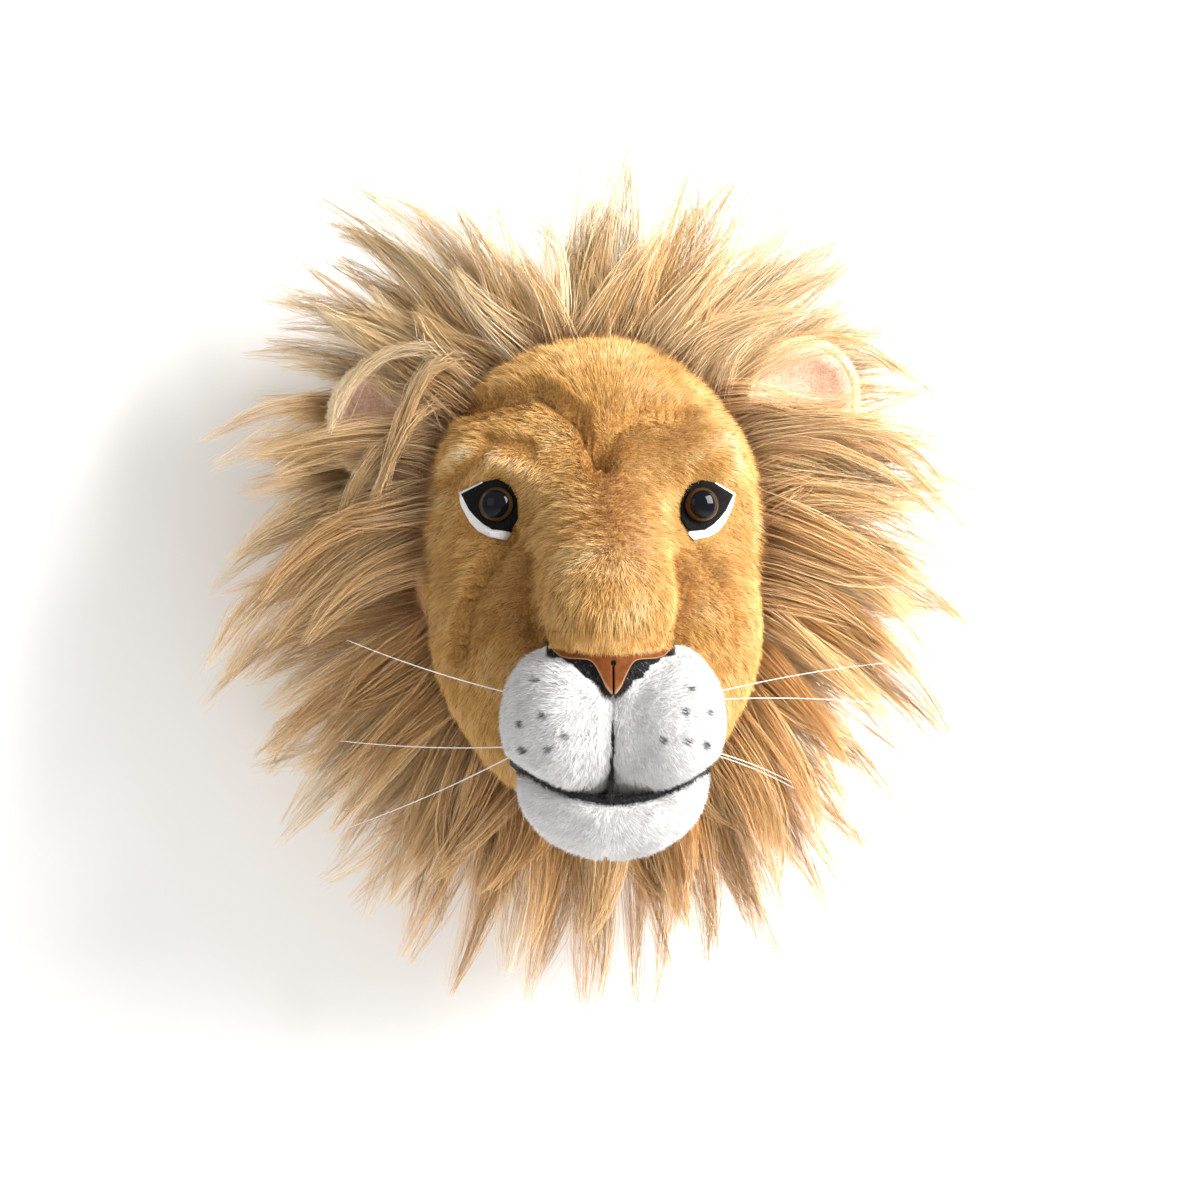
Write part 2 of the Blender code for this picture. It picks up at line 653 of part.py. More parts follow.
def make_ears(parts, tools, looks, grown):
    rooms = []
    for name, side in (("left", -1), ("right", 1)):
        centre, turn = EAR_CENTRE[name], ear_turn(side)
        shift = turn @ Vector((0.0, -EAR_DISH_FORWARD, 0.0))
        dish = (centre[0] + shift.x, centre[1] - shift.y, centre[2] + shift.z)
        ahead = turn @ Vector((0.0, -EAR_DISH_FORWARD - EAR_LINING, 0.0))
        hollow = (centre[0] + ahead.x, centre[1] - ahead.y, centre[2] + ahead.z)
        ear = place(f"ear_{name}", ball(centre, EAR_RADII, turn, 14, 7), parts, looks["ear plush"])
        lining = place(
            f"ear_inner_{name}", ball(dish, EAR_DISH, turn, 13, 6, -GAP), parts, looks["pink plush"]
        )
        boolean(ear, cutter(f"ear_dish_{name}", ball(dish, EAR_DISH, turn, 13, 6), tools))
        boolean(ear, grown["head_fit"])
        boolean(lining, cutter(f"ear_hollow_{name}", ball(hollow, EAR_DISH, turn, 11, 6, GAP), tools))
        whole = cutter(f"ear_whole_{name}", ball(centre, EAR_RADII, turn, 15, 8), tools)
        boolean(lining, whole, "INTERSECT")
        rooms.append(cutter(f"ear_room_{name}", ball(centre, EAR_RADII, turn, 14, 7, GAP), tools))
    return rooms


def spread(count, seed):
    """Angles all round the head, evenly spaced and then jogged by up to a share of their spacing."""
    draw = np.random.default_rng(seed)
    step = 2 * math.pi / count
    return np.arange(count) * step + draw.uniform(-LOCK_JOG, LOCK_JOG, count) * step


def tier(count, reach, seed):
    draw = np.random.default_rng(seed + 1)
    return spread(count, seed), draw.uniform(*reach, count)


def outer_tier():
    locks = TOP_LOCKS + RIGHT_LOCKS + BOTTOM_LOCKS + LEFT_LOCKS
    locks = sorted((math.radians(angle % 360), reach) for angle, reach in locks)
    return np.array([a for a, _ in locks]), np.array([r for _, r in locks])


def lock_profile(turns, angles, reaches, valley, sharpness):
    """Reach at each turn, and how near it is to a lock's middle line: 1 there, 0 between locks.

    Between two locks the reach falls to the valley's share of their mean.
    """
    order = np.argsort(angles)
    angles, reaches = angles[order], reaches[order]
    count = len(angles)
    reach, middle = np.empty(len(turns)), np.empty(len(turns))
    for i, turn in enumerate(turns):
        offsets = (turn - angles + math.pi) % (2 * math.pi) - math.pi
        k = int(np.argmin(np.abs(offsets)))
        after, before = (angles[(k + 1) % count] - angles[k]), (angles[k] - angles[k - 1])
        width = (after if offsets[k] > 0 else before) % (2 * math.pi) / 2
        beside = reaches[(k + 1) % count] if offsets[k] > 0 else reaches[k - 1]
        low = valley * (reaches[k] + beside) / 2
        share = min(abs(offsets[k]) / width, 1.0)
        middle[i] = 1.0 - share
        reach[i] = low + (reaches[k] - low) * (1.0 - share) ** sharpness
    return reach, middle


def head_reach(turns, forward):
    """From the middle line out to the head's skin, at each turn and one distance from the wall."""
    ways = np.stack((np.sin(turns), 0 * turns, np.cos(turns)), axis=1)
    return drawn_in(head_distance, np.array((0.0, forward, 0.0)), ways, HEAD_START)


def droop(turn):
    """How far a lock's tip has fallen round the head from where the lock leaves it."""
    return DROOP * math.sin(turn) * (math.cos(turn) + DROOP_AT_SIDES)


def mane_section(root, back, front, outer, rear):
    """The closed outline of the mane at one turn, as (reach, forward)."""
    (front_reach, front_middle), (outer_reach, outer_middle), (rear_reach, rear_middle) = front, outer, rear
    return (
        (root - MANE_INSIDE, MANE_ROOT - ROOT_STEP),
        (
            root + SHOULDER_SHARE * (front_reach - root),
            MANE_ROOT + LOCK_RIDGE * (SHOULDER_RISE + front_middle),
        ),
        (front_reach, FRONT_TIP_FORWARD),
        (min(VALLEY_REACH, front_reach - FRONT_OVERHANG), FRONT_TIP_FORWARD - FRONT_UNDERSIDE),
        ((VALLEY_REACH + outer_reach) / 2, OUTER_TIP_FORWARD + OUTER_SWELL + LOCK_RIDGE * outer_middle),
        (outer_reach, OUTER_TIP_FORWARD),
        (VALLEY_REACH, OUTER_TIP_FORWARD - OUTER_UNDERSIDE + LOCK_RIDGE * rear_middle),
        (rear_reach, REAR_TIP_FORWARD),
        (VALLEY_REACH, REAR_TIP_FORWARD - REAR_UNDERSIDE),
        (back - MANE_INSIDE, MANE_BACK),
    )


def make_mane(parts, look, rooms):
    """The mane's own outline, with the head and the ears then taken out of it."""
    locks = outer_tier()[0]
    after = np.append(locks[1:], locks[0] + 2 * math.pi)
    shares = np.arange(STATIONS_PER_LOCK) / STATIONS_PER_LOCK
    turns = (locks[:, None] + shares * (after - locks)[:, None]).ravel()
    front_locks = tier(FRONT_LOCK_COUNT, FRONT_REACH, FRONT_SEED)
    rear_locks = tier(REAR_LOCK_COUNT, REAR_REACH, REAR_SEED)
    front = lock_profile(turns, *front_locks, FRONT_VALLEY, FRONT_POINT)
    outer = lock_profile(turns, *outer_tier(), OUTER_VALLEY, OUTER_POINT)
    rear = lock_profile(turns, *rear_locks, REAR_VALLEY, REAR_POINT)
    for ear in EAR_CENTRE.values():
        away = (turns - math.atan2(ear[0], ear[2]) + math.pi) % (2 * math.pi) - math.pi
        front[0][:] *= 1.0 - EAR_PARTING * np.exp(-np.square(away / EAR_PARTING_WIDTH))
    inside = [head_reach(turns, f) for f in (MANE_ROOT, MANE_BACK)]
    bm = bmesh.new()
    sections = []
    for i, turn in enumerate(turns):
        ring = []
        tiers = [(reach[i], middle[i]) for reach, middle in (front, outer, rear)]
        for reach, forward in mane_section(*(r[i] for r in inside), *tiers):
            fallen = (max(reach - FALL_START, 0.0) / FALL_LENGTH) ** 2
            angle = turn - droop(turn) * (1.0 - fallen)
            ring.append(bm.verts.new(in_world((reach * math.sin(angle), forward, reach * math.cos(angle)))))
        sections.append(ring)
    count = len(sections[0])
    for ring, after in zip(sections, sections[1:] + sections[:1]):
        for k in range(count):
            following = (k + 1) % count
            bm.faces.new((ring[k], ring[following], after[following], after[k]))
    mane = place("mane", bm, parts, look)
    for room in rooms:
        boolean(mane, room)
    return mane


def make_whiskers(parts, look):
    for name, (root, tip) in WHISKERS.items():
        root, tip = np.array(root), np.array(tip)
        shares = np.linspace(0.0, 1.0, WHISKER_TRIALS)
        line = root + shares[:, None] * (tip - root)
        clear = int(np.argmax(np.minimum(muzzle_distance(line), head_distance(line)) > GAP))
        root = line[clear]
        curve = bpy.data.curves.new(f"whisker_{name}", "CURVE")
        curve.dimensions = "3D"
        curve.bevel_depth = WHISKER_RADIUS
        curve.bevel_resolution = 0
        curve.use_fill_caps = True
        spline = curve.splines.new("POLY")
        spline.points.add(WHISKER_POINTS - 1)
        for k, point in enumerate(spline.points):
            share = k / (WHISKER_POINTS - 1)
            place_now = in_world(root + share * (tip - root))
            place_now.z += WHISKER_SAG * 4 * share * (1 - share) * (-1 if "left" in name else 1)
            point.co = (*place_now, 1.0)
        made = bpy.data.objects.new(f"whisker_{name}", curve)
        curve.materials.append(look)
        parts.objects.link(made)


def main():
    clear_scene()
    parts, tools = collection("plush lion head"), collection("cutters")
    looks = {
        "golden plush": material("golden plush", (0.62, 0.38, 0.14), 0.9),
        "mane plush": material("mane plush", (0.66, 0.43, 0.20), 0.8),
        "white plush": material("white plush", (0.86, 0.85, 0.83), 0.9),
        "black plush": material("black plush", (0.03, 0.03, 0.03), 0.9),
        "leather": material("nose leather", (0.33, 0.12, 0.04), 0.6),
        "eye plastic": material("eye plastic", (0.06, 0.03, 0.015), 0.08),
        "black felt": material("black felt", (0.02, 0.02, 0.02), 0.95),
        "white felt": material("white felt", (0.84, 0.82, 0.80), 0.95),
        "ear plush": material("ear plush", (0.72, 0.52, 0.30), 0.9),
        "pink plush": material("pink plush", (0.68, 0.45, 0.36), 0.9),
        "board": material("board", (0.50, 0.36, 0.22), 0.7),
        "whisker": material("whisker nylon", (0.90, 0.90, 0.88), 0.4),
    }
    make_board(parts, tools, looks["board"])
    head, grown = make_head(parts, tools, looks["golden plush"])
    muzzle = make_mouth(parts, tools, looks, grown)
    nose_room = make_nose(parts, tools, looks)
    for piece in (head, muzzle):
        boolean(piece, nose_room)
    make_eyes(parts, tools, looks, head, grown)
    rooms = make_ears(parts, tools, looks, grown)
    make_mane(parts, looks["mane plush"], [grown["head_fit"]] + rooms)
    make_whiskers(parts, looks["whisker"])


main()
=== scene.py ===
import math

import bmesh
import bpy
import numpy as np
from mathutils import Matrix, Vector


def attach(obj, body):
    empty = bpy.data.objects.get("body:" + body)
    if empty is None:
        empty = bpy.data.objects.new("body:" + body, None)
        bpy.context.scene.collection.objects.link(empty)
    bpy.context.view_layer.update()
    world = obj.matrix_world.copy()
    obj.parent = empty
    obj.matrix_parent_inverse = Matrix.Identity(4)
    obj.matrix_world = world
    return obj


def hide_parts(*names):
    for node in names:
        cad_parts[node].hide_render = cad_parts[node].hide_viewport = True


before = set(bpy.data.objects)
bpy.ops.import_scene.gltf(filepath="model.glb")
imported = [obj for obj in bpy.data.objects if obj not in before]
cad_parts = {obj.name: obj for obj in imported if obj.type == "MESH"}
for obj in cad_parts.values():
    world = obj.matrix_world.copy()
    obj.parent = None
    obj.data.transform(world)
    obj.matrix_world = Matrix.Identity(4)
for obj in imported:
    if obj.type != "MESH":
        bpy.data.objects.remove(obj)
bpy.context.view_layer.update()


# The wall and the floor are only a setting: a white wall that the head hangs on, with the floor
# well below it. The wall is painted card, seen from its front alone, so that it hides nothing
# from behind.
WALL_SIZE, WALL_GAP, FLOOR_UP = 7.0, 0.0005, -1.25
CARD_COLOUR, CARD_MOTTLE = (0.92, 0.915, 0.905), 1.03


class Term:
    """A socket of a node tree. Sums written on it in Python become Math nodes."""

    def __init__(self, tree, socket):
        self.tree, self.socket = tree, socket

    def maths(self, operation, first, second):
        return self.tree.node("ShaderNodeMath", {"operation": operation}, {0: first, 1: second})

    def __add__(self, other):
        return self.maths("ADD", self, other)

    def __radd__(self, other):
        return self.maths("ADD", other, self)

    def __sub__(self, other):
        return self.maths("SUBTRACT", self, other)

    def __rsub__(self, other):
        return self.maths("SUBTRACT", other, self)

    def __mul__(self, other):
        return self.maths("MULTIPLY", self, other)

    def __rmul__(self, other):
        return self.maths("MULTIPLY", other, self)

    def __pow__(self, other):
        return self.maths("POWER", self, other)


class Tree:
    """A node tree written down as Python."""

    def __init__(self, made):
        self.nodes, self.links = made.nodes, made.links

    def node(self, kind, settings=None, inputs=None, output=0):
        made = self.nodes.new(kind)
        for name, value in (settings or {}).items():
            if name == "stops":
                ramp = made.color_ramp
                ramp.elements[0].position, ramp.elements[1].position = value[0][0], value[-1][0]
                for place, _ in value[1:-1]:
                    ramp.elements.new(place)
                for stop, (_, colour) in zip(ramp.elements, value):
                    stop.color = (*colour, 1.0)
            else:
                setattr(made, name, value)
        for name, value in (inputs or {}).items():
            if isinstance(value, Term):
                self.links.new(value.socket, made.inputs[name])
            else:
                made.inputs[name].default_value = value
        return Term(self, made.outputs[output])

    def part(self, vector, axis):
        return self.node("ShaderNodeSeparateXYZ", None, {0: vector}, axis)


class Finish(Tree):
    """A material that ends in one Principled shader, with its fixed values on the shader itself."""

    def __init__(self, name, **fixed):
        self.material = bpy.data.materials.new(name)
        self.material.use_nodes = True
        super().__init__(self.material.node_tree)
        self.shader = self.nodes["Principled BSDF"]
        for socket, value in fixed.items():
            self.shader.inputs[socket.replace("_", " ")].default_value = value

    def show(self, **terms):
        for socket, term in terms.items():
            self.links.new(term.socket, self.shader.inputs[socket.replace("_", " ")])
        return self.material

    def on_strand(self):
        """A strand's own place across the colour map, and how far along the strand a point is."""
        place = self.node("ShaderNodeUVMap", {"uv_map": "OFBake"})
        return self.part(place, "X"), self.part(place, "Y")

    def noise(self, scale, detail=2.0, vector=None):
        inputs = {"Scale": scale, "Detail": detail}
        inputs["Vector"] = vector or self.node("ShaderNodeTexCoord", output="Object")
        return self.node("ShaderNodeTexNoise", None, inputs, "Fac")

    def ramp(self, factor, *stops):
        return self.node("ShaderNodeValToRGB", {"stops": stops}, {"Fac": factor}, "Color")

    def mix(self, factor, first, second, blend="MIX"):
        """Two colours mixed: inputs 6 and 7 and output 2 are the colour ones."""
        settings = {"data_type": "RGBA", "blend_type": blend}
        return self.node("ShaderNodeMix", settings, {0: factor, 6: first, 7: second}, 2)

    def bump(self, height, strength, distance):
        inputs = {"Height": height, "Strength": strength, "Distance": distance}
        return self.node("ShaderNodeBump", None, inputs, "Normal")


def new_object(name, data):
    made = bpy.data.objects.new(name, data)
    bpy.context.scene.collection.objects.link(made)
    return made


def flat_sheet(name, corners, material):
    mesh = bpy.data.meshes.new(name)
    mesh.from_pydata(corners, [], [(0, 1, 2, 3)])
    mesh.materials.append(material)
    return new_object(name, mesh)


def card_finish(name, one_sided):
    card = Finish(name, Roughness=0.9)
    brighter = [CARD_MOTTLE * c for c in CARD_COLOUR]
    shade = card.ramp(card.noise(3.0), (0.0, CARD_COLOUR), (1.0, brighter))
    card.show(Base_Color=shade)
    if one_sided:
        behind = card.node("ShaderNodeNewGeometry", output="Backfacing")
        clear = card.node("ShaderNodeBsdfTransparent", output="BSDF")
        front = Term(card, card.shader.outputs["BSDF"])
        seen = card.node("ShaderNodeMixShader", None, {0: behind, 1: front, 2: clear})
        card.links.new(seen.socket, card.nodes["Material Output"].inputs["Surface"])
    return card.material


half = WALL_SIZE / 2
places = ((half, FLOOR_UP), (half, half), (-half, half), (-half, FLOOR_UP))
wall = flat_sheet("wall", [(x, WALL_GAP, z) for x, z in places], card_finish("wall card", True))
wall.visible_shadow = False
wall.visible_diffuse = False
places = ((-half, -half), (half, -half), (half, half), (-half, half))
floor = flat_sheet("floor", [(x, y, FLOOR_UP) for x, y in places], card_finish("floor card", False))


# The light: one large soft box from the upper right, a weaker one from the left, and an even
# white surrounding, as in a bright studio. The camera stands a little to the left of the nose.
CAMERA_AIM = Vector((0.0, -0.150, -0.0114))
CAMERA_DISTANCE = 1.45
CAMERA_TURN = math.radians(4.0)
PIXELS_PER_RADIAN, PICTURE_WIDTH, SENSOR = 3388.0, 1200, 36.0
LIGHT_AIM, WORLD_STRENGTH = Vector((0.0, -0.1, 0.0)), 0.65


def soft_box(name, place, size, watts, colour):
    data = bpy.data.lights.new(name, "AREA")
    data.size, data.energy, data.color = size, watts, colour
    made = new_object(name, data)
    made.location = place
    made.rotation_euler = (LIGHT_AIM - made.location).to_track_quat("-Z", "Y").to_euler()


soft_box("key light", (1.65, -1.05, 0.85), 1.3, 128.0, (1.0, 0.99, 0.97))
soft_box("fill light", (-1.3, -1.5, 0.4), 1.2, 4.0, (0.98, 0.99, 1.0))
world = bpy.data.worlds.new("studio")
bpy.context.scene.world = world
world.use_nodes = True
background = world.node_tree.nodes["Background"]
background.inputs["Color"].default_value = (1.0, 1.0, 1.0, 1.0)
background.inputs["Strength"].default_value = WORLD_STRENGTH

camera = new_object("camera", bpy.data.cameras.new("camera"))
ahead = Vector((math.sin(CAMERA_TURN), math.cos(CAMERA_TURN), 0.0))
camera.location = CAMERA_AIM - CAMERA_DISTANCE * ahead
camera.rotation_euler = ahead.to_track_quat("-Z", "Y").to_euler()
camera.data.sensor_width = SENSOR
camera.data.lens = PIXELS_PER_RADIAN / PICTURE_WIDTH * SENSOR
bpy.context.scene.camera = camera
bpy.context.scene.view_settings.view_transform = "Standard"


# The board: a thin oval of sanded wood that the head's back is stapled to, with a keyhole cut
# through it for a nail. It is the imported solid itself.
WOOD_LIGHT, WOOD_DARK = (0.56, 0.39, 0.23), (0.40, 0.25, 0.13)


def wood_finish():
    wood = Finish("sanded wood", Roughness=0.65)
    place = wood.node("ShaderNodeTexCoord", output="Object")
    stretched = wood.node("ShaderNodeMapping", None, {"Vector": place, "Scale": (60.0, 60.0, 4.0)})
    grain = wood.noise(1.0, 5.0, stretched)
    shade = wood.ramp(grain, (0.35, WOOD_DARK), (0.65, WOOD_LIGHT))
    return wood.show(Base_Color=shade, Normal=wood.bump(grain, 0.2, 0.0006))


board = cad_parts["back_board"]
board.data.materials.clear()
board.data.materials.append(wood_finish())


# The head: a golden plush skin over firm stuffing, built out of rounded forms that run into
# one another, with stitched-in creases on the forehead and cheeks.
SKULL = ((0.0, 0.092, 0.018), (0.078, 0.062, 0.087), 0.012)
JAW = ((0.0, 0.128, -0.040), (0.062, 0.062, 0.062), 0.024)
FOREHEAD = ((0.0, 0.112, 0.062), (0.050, 0.040, 0.036), 0.016)
BROW = ((0.037, 0.126, 0.049), (0.027, 0.026, 0.017), 0.012)
CHEEK = ((0.0405, 0.128, -0.026), (0.0265, 0.040, 0.034), 0.016)
BRIDGE = ((0.0, 0.128, 0.026), (0.0, 0.203, -0.012), 0.027, 0.018)
EYE_HOLLOW = ((0.0440, 0.1595, 0.0290), (0.0170, 0.0170, 0.0165), 0.006)
NECK_RADII, NECK_UP, NECK_FRONT, NECK_BACK = (0.075, 0.092), 0.004, 0.085, 0.0092
CREASES = (
    (((-0.052, 0.071), (-0.025, 0.077), (-0.008, 0.064), (-0.001, 0.045)), 0.0075, 0.0034),
    (((0.001, 0.045), (0.006, 0.060), (0.018, 0.067), (0.034, 0.066)), 0.0045, 0.0046),
    (((-0.036, 0.016), (-0.046, 0.002), (-0.055, -0.014), (-0.058, -0.034)), 0.0064, 0.0032),
    (((0.039, 0.012), (0.047, 0.000), (0.055, -0.014), (0.057, -0.032)), 0.0024, 0.0050),
    (((-0.029, 0.008), (-0.031, -0.012), (-0.0265, -0.029)), 0.0026, 0.0045),
    (((-0.0307, -0.016), (-0.0268, -0.030)), 0.0026, 0.0038),
    (((0.029, 0.006), (0.032, -0.012), (0.0272, -0.027)), 0.0030, 0.0048),
    (((-0.062, 0.040), (-0.045, 0.056), (-0.028, 0.053)), 0.0030, 0.0040),
)
CREASE_START = 0.100
HEAD_CENTRE = (0.0, 0.118, -0.004)
# GOLD_SHADE and GOLD_DEEP are painted shade: on the cloth where the strands part, at the strands' roots and
# along the creases.
GOLD_SHADE, GOLD_DEEP = (0.24, 0.11, 0.025), (0.45, 0.23, 0.055)
GOLD_MIDDLE, GOLD_LIGHT, GOLD_PALE = (0.73, 0.41, 0.115), (0.88, 0.60, 0.25), (0.96, 0.79, 0.50)
GOLD_STRANDS = 95000
GOLD_LENGTH, GOLD_WIDTH = 0.0054, 0.00031
# All short pile: how much clumps and looseness turn a blade, how little it may rise, how deep it is
# sunk in, and how far blades differ in length, width, twist and tint.
PILE_CLUMPED, PILE_LOOSE, PILE_LEAST_RISE, PILE_SUNK = 0.20, 0.13, 0.12, 0.0006
PILE_LENGTHS, PILE_WIDTHS, PILE_TWIST, PILE_TINTS = (0.72, 1.18), (0.7, 1.25), 0.9, 0.07


def mirrored(centre, side):
    return (centre[0] * side, centre[1], centre[2])


def ellipsoid_distance(points, centre, radii):
    offset = points - np.array(centre)
    scaled = np.linalg.norm(offset / np.array(radii), axis=1)
    slope = np.linalg.norm(offset / np.square(radii), axis=1)
    return scaled * (scaled - 1.0) / np.maximum(slope, 1e-6)


def capsule_distance(points, start, end, radius):
    start, along = np.array(start), np.array(end) - np.array(start)
    share = np.clip((points - start) @ along / (along @ along), 0.0, 1.0)
    return np.linalg.norm(points - start - share[:, None] * along, axis=1) - radius


def melt(first, second, softness):
    """The nearer of two distances, with the corner between them filled."""
    overlap = np.maximum(softness - np.abs(first - second), 0.0) / softness
    return np.minimum(first, second) - overlap * overlap * softness / 4.0


def path_distance(places, path):
    """How far places are from a path of straight runs, all as (across, up)."""
    return np.min([capsule_distance(places, *run, 0.0) for run in zip(path, path[1:])], axis=0)


def crease_depths(points):
    """How far each crease presses the skin in at the points, one row for each crease."""
    on_face = np.clip((points[:, 1] - CREASE_START) / 0.02, 0.0, 1.0)
    near = [path_distance(points[:, (0, 2)], path) / width for path, _, width in CREASES]
    return np.array([on_face * crease[1] * np.exp(-n * n) for n, crease in zip(near, CREASES)])


def head_distance(points):
    """Signed distance to the skin of the stuffed head: negative inside."""
    offset = (points[:, (0, 2)] - np.array((0.0, NECK_UP))) / np.array(NECK_RADII)
    side = (np.linalg.norm(offset, axis=1) - 1.0) * min(NECK_RADII)
    skin = np.maximum(side, np.maximum(points[:, 1] - NECK_FRONT, NECK_BACK - points[:, 1]))
    for centre, radii, softness in (SKULL, JAW, FOREHEAD):
        skin = melt(skin, ellipsoid_distance(points, centre, radii), softness)
    for centre, radii, softness in (BROW, CHEEK):
        for side in (-1, 1):
            skin = melt(skin, ellipsoid_distance(points, mirrored(centre, side), radii), softness)
    skin = melt(skin, capsule_distance(points, *BRIDGE[:3]), BRIDGE[3])
    for side in (-1, 1):
        hollow = ellipsoid_distance(points, mirrored(EYE_HOLLOW[0], side), EYE_HOLLOW[1])
        skin = -melt(-skin, hollow, EYE_HOLLOW[2])
    return skin + crease_depths(points).sum(axis=0)


def surface_forward(distance, across, up, start=0.28, pace=0.8, rounds=120):
    """How far from the wall a surface is in front of places on the wall."""
    across, up = np.broadcast_arrays(np.atleast_1d(across), np.atleast_1d(up))
    forward = np.full(len(across), start)
    for _ in range(rounds):
        forward = forward - pace * distance(np.stack((across, forward, up), axis=1))
    return forward


def swapped(points):
    """Points given as (across, forward, up) in the model's own axes, and the other way round."""
    return np.asarray(points) * np.array((1.0, -1.0, 1.0))


def finished_mesh(name, bm, material, closed=True):
    """The object of a bmesh, shaded smooth, with its faces turned outwards if it is closed."""
    if closed:
        bmesh.ops.recalc_face_normals(bm, faces=bm.faces)
    mesh = bpy.data.meshes.new(name)
    bm.to_mesh(mesh)
    bm.free()
    mesh.shade_smooth()
    mesh.materials.append(material)
    return new_object(name, mesh)


def sculpted(name, distance, centre, start, segments, rings, pole, crowding, material, pace=0.85):
    """A ball whose points are drawn in from outside along their own directions to a surface."""
    bm = bmesh.new()
    bmesh.ops.create_uvsphere(bm, u_segments=segments, v_segments=rings, radius=1.0)
    turn = Matrix.Rotation(math.pi / 2 if pole == "forward" else 0.0, 3, "X")
    ways = swapped([turn @ v.co for v in bm.verts])
    if crowding != 1.0:
        off_axis = np.arccos(np.clip(ways[:, 1], -1.0, 1.0))
        gathered = math.pi * (off_axis / math.pi) ** crowding
        ways[:, (0, 2)] *= (np.sin(gathered) / np.maximum(np.sin(off_axis), 1e-9))[:, None]
        ways[:, 1] = np.cos(gathered)
    reach = np.full(len(ways), start)
    for _ in range(90):
        reach = reach - pace * distance(np.array(centre) + ways * reach[:, None])
        reach = np.clip(reach, 0.0, 2 * start)
    for v, point in zip(bm.verts, swapped(np.array(centre) + ways * reach[:, None])):
        v.co = point
    bm.normal_update()
    return finished_mesh(name, bm, material)


def ripples(points, length, seed, waves=7):
    """Smooth noise from -1 to 1 in three columns: sums of waves that run all ways."""
    draw = np.random.default_rng(seed)
    total = np.zeros((len(points), 3))
    for _ in range(waves):
        way = draw.normal(size=(3, 3))
        way /= np.linalg.norm(way, axis=0)
        wave = length * draw.uniform(0.7, 1.5)
        total += np.sin(2 * math.pi * points @ way / wave + draw.uniform(0, 6.3, 3))
    return total / 3.0


def unit(vectors):
    return vectors / np.maximum(np.linalg.norm(vectors, axis=1), 1e-9)[:, None]


def scattered(source, count, seed):
    """Random places all over a mesh, as (across, forward, up), and the way out of it at each.

    A ball's faces come in another order each time it is made, so they are put in order first.
    """
    def read(items, label, kind):
        values = np.empty(3 * len(items), dtype=kind)
        items.foreach_get(label, values)
        return values.reshape(-1, 3)

    mesh = source.data
    mesh.calc_loop_triangles()
    corners = np.sort(read(mesh.loop_triangles, "vertices", np.int32), axis=1)
    corners = corners[np.lexsort(corners.T)]
    places, outward = (read(mesh.vertices, label, np.float64) for label in ("co", "normal"))
    a, b, c = (places[corners[:, k]] for k in range(3))
    areas = np.linalg.norm(np.cross(b - a, c - a), axis=1)
    draw = np.random.default_rng(seed)
    picked = corners[draw.choice(len(corners), count, p=areas / areas.sum())]
    shares = draw.dirichlet((1.0, 1.0, 1.0), count)
    on_mesh, away = (np.einsum("nk,nkj->nj", shares, values[picked]) for values in (places, outward))
    return swapped(on_mesh), swapped(unit(away))


class Growth(Tree):
    """A Geometry Nodes group with named inputs."""

    def __init__(self, name, inputs):
        self.group = bpy.data.node_groups.new(name, "GeometryNodeTree")
        super().__init__(self.group)
        sockets = self.group.interface
        sockets.new_socket("Geometry", in_out="OUTPUT", socket_type="NodeSocketGeometry")
        sockets.new_socket("Geometry", in_out="INPUT", socket_type="NodeSocketGeometry")
        for label, kind in inputs.items():
            sockets.new_socket(label, in_out="INPUT", socket_type=f"NodeSocket{kind}")
        self.entry = self.nodes.new("NodeGroupInput")

    def given(self, name):
        return Term(self, self.entry.outputs[name])

    def attribute(self, name, kind="FLOAT"):
        return self.node("GeometryNodeInputNamedAttribute", {"data_type": kind}, {"Name": name})

    def store(self, geometry, name, value, kind="FLOAT", domain="POINT"):
        inputs = {"Geometry": geometry, "Name": name, "Value": value}
        return self.node("GeometryNodeStoreNamedAttribute", {"data_type": kind, "domain": domain}, inputs)

    def vector(self, x, y, z):
        return self.node("ShaderNodeCombineXYZ", None, {"X": x, "Y": y, "Z": z})

    def end(self, geometry):
        """Makes all copies real, gives each strand its place on the colour map, and its material."""
        real = self.node("GeometryNodeRealizeInstances", None, {"Geometry": geometry})
        place = self.vector(self.attribute("tint"), self.attribute("along"), 0.0)
        mapped = self.store(real, "OFBake", place, "FLOAT2", "CORNER")
        inputs = {"Geometry": mapped, "Material": self.given("Material")}
        finished = self.node("GeometryNodeSetMaterial", None, inputs)
        self.links.new(finished.socket, self.nodes.new("NodeGroupOutput").inputs[0])

    def grow(self, name, source, **values):
        """The group's result on an object, as a plain mesh in place of that object."""
        step = source.modifiers.new("growth", "NODES")
        step.node_group = self.group
        for item in self.group.interface.items_tree:
            if item.name in values:
                step[item.identifier] = values[item.name]
        drawn = source.evaluated_get(bpy.context.evaluated_depsgraph_get())
        mesh = bpy.data.meshes.new_from_object(drawn)
        used = ("tint", "along", "draw", "aim", "face")
        for spare in [a.name for a in mesh.attributes if a.name in used]:
            mesh.attributes.remove(mesh.attributes[spare])
        bpy.data.objects.remove(source)
        return new_object(name, mesh)


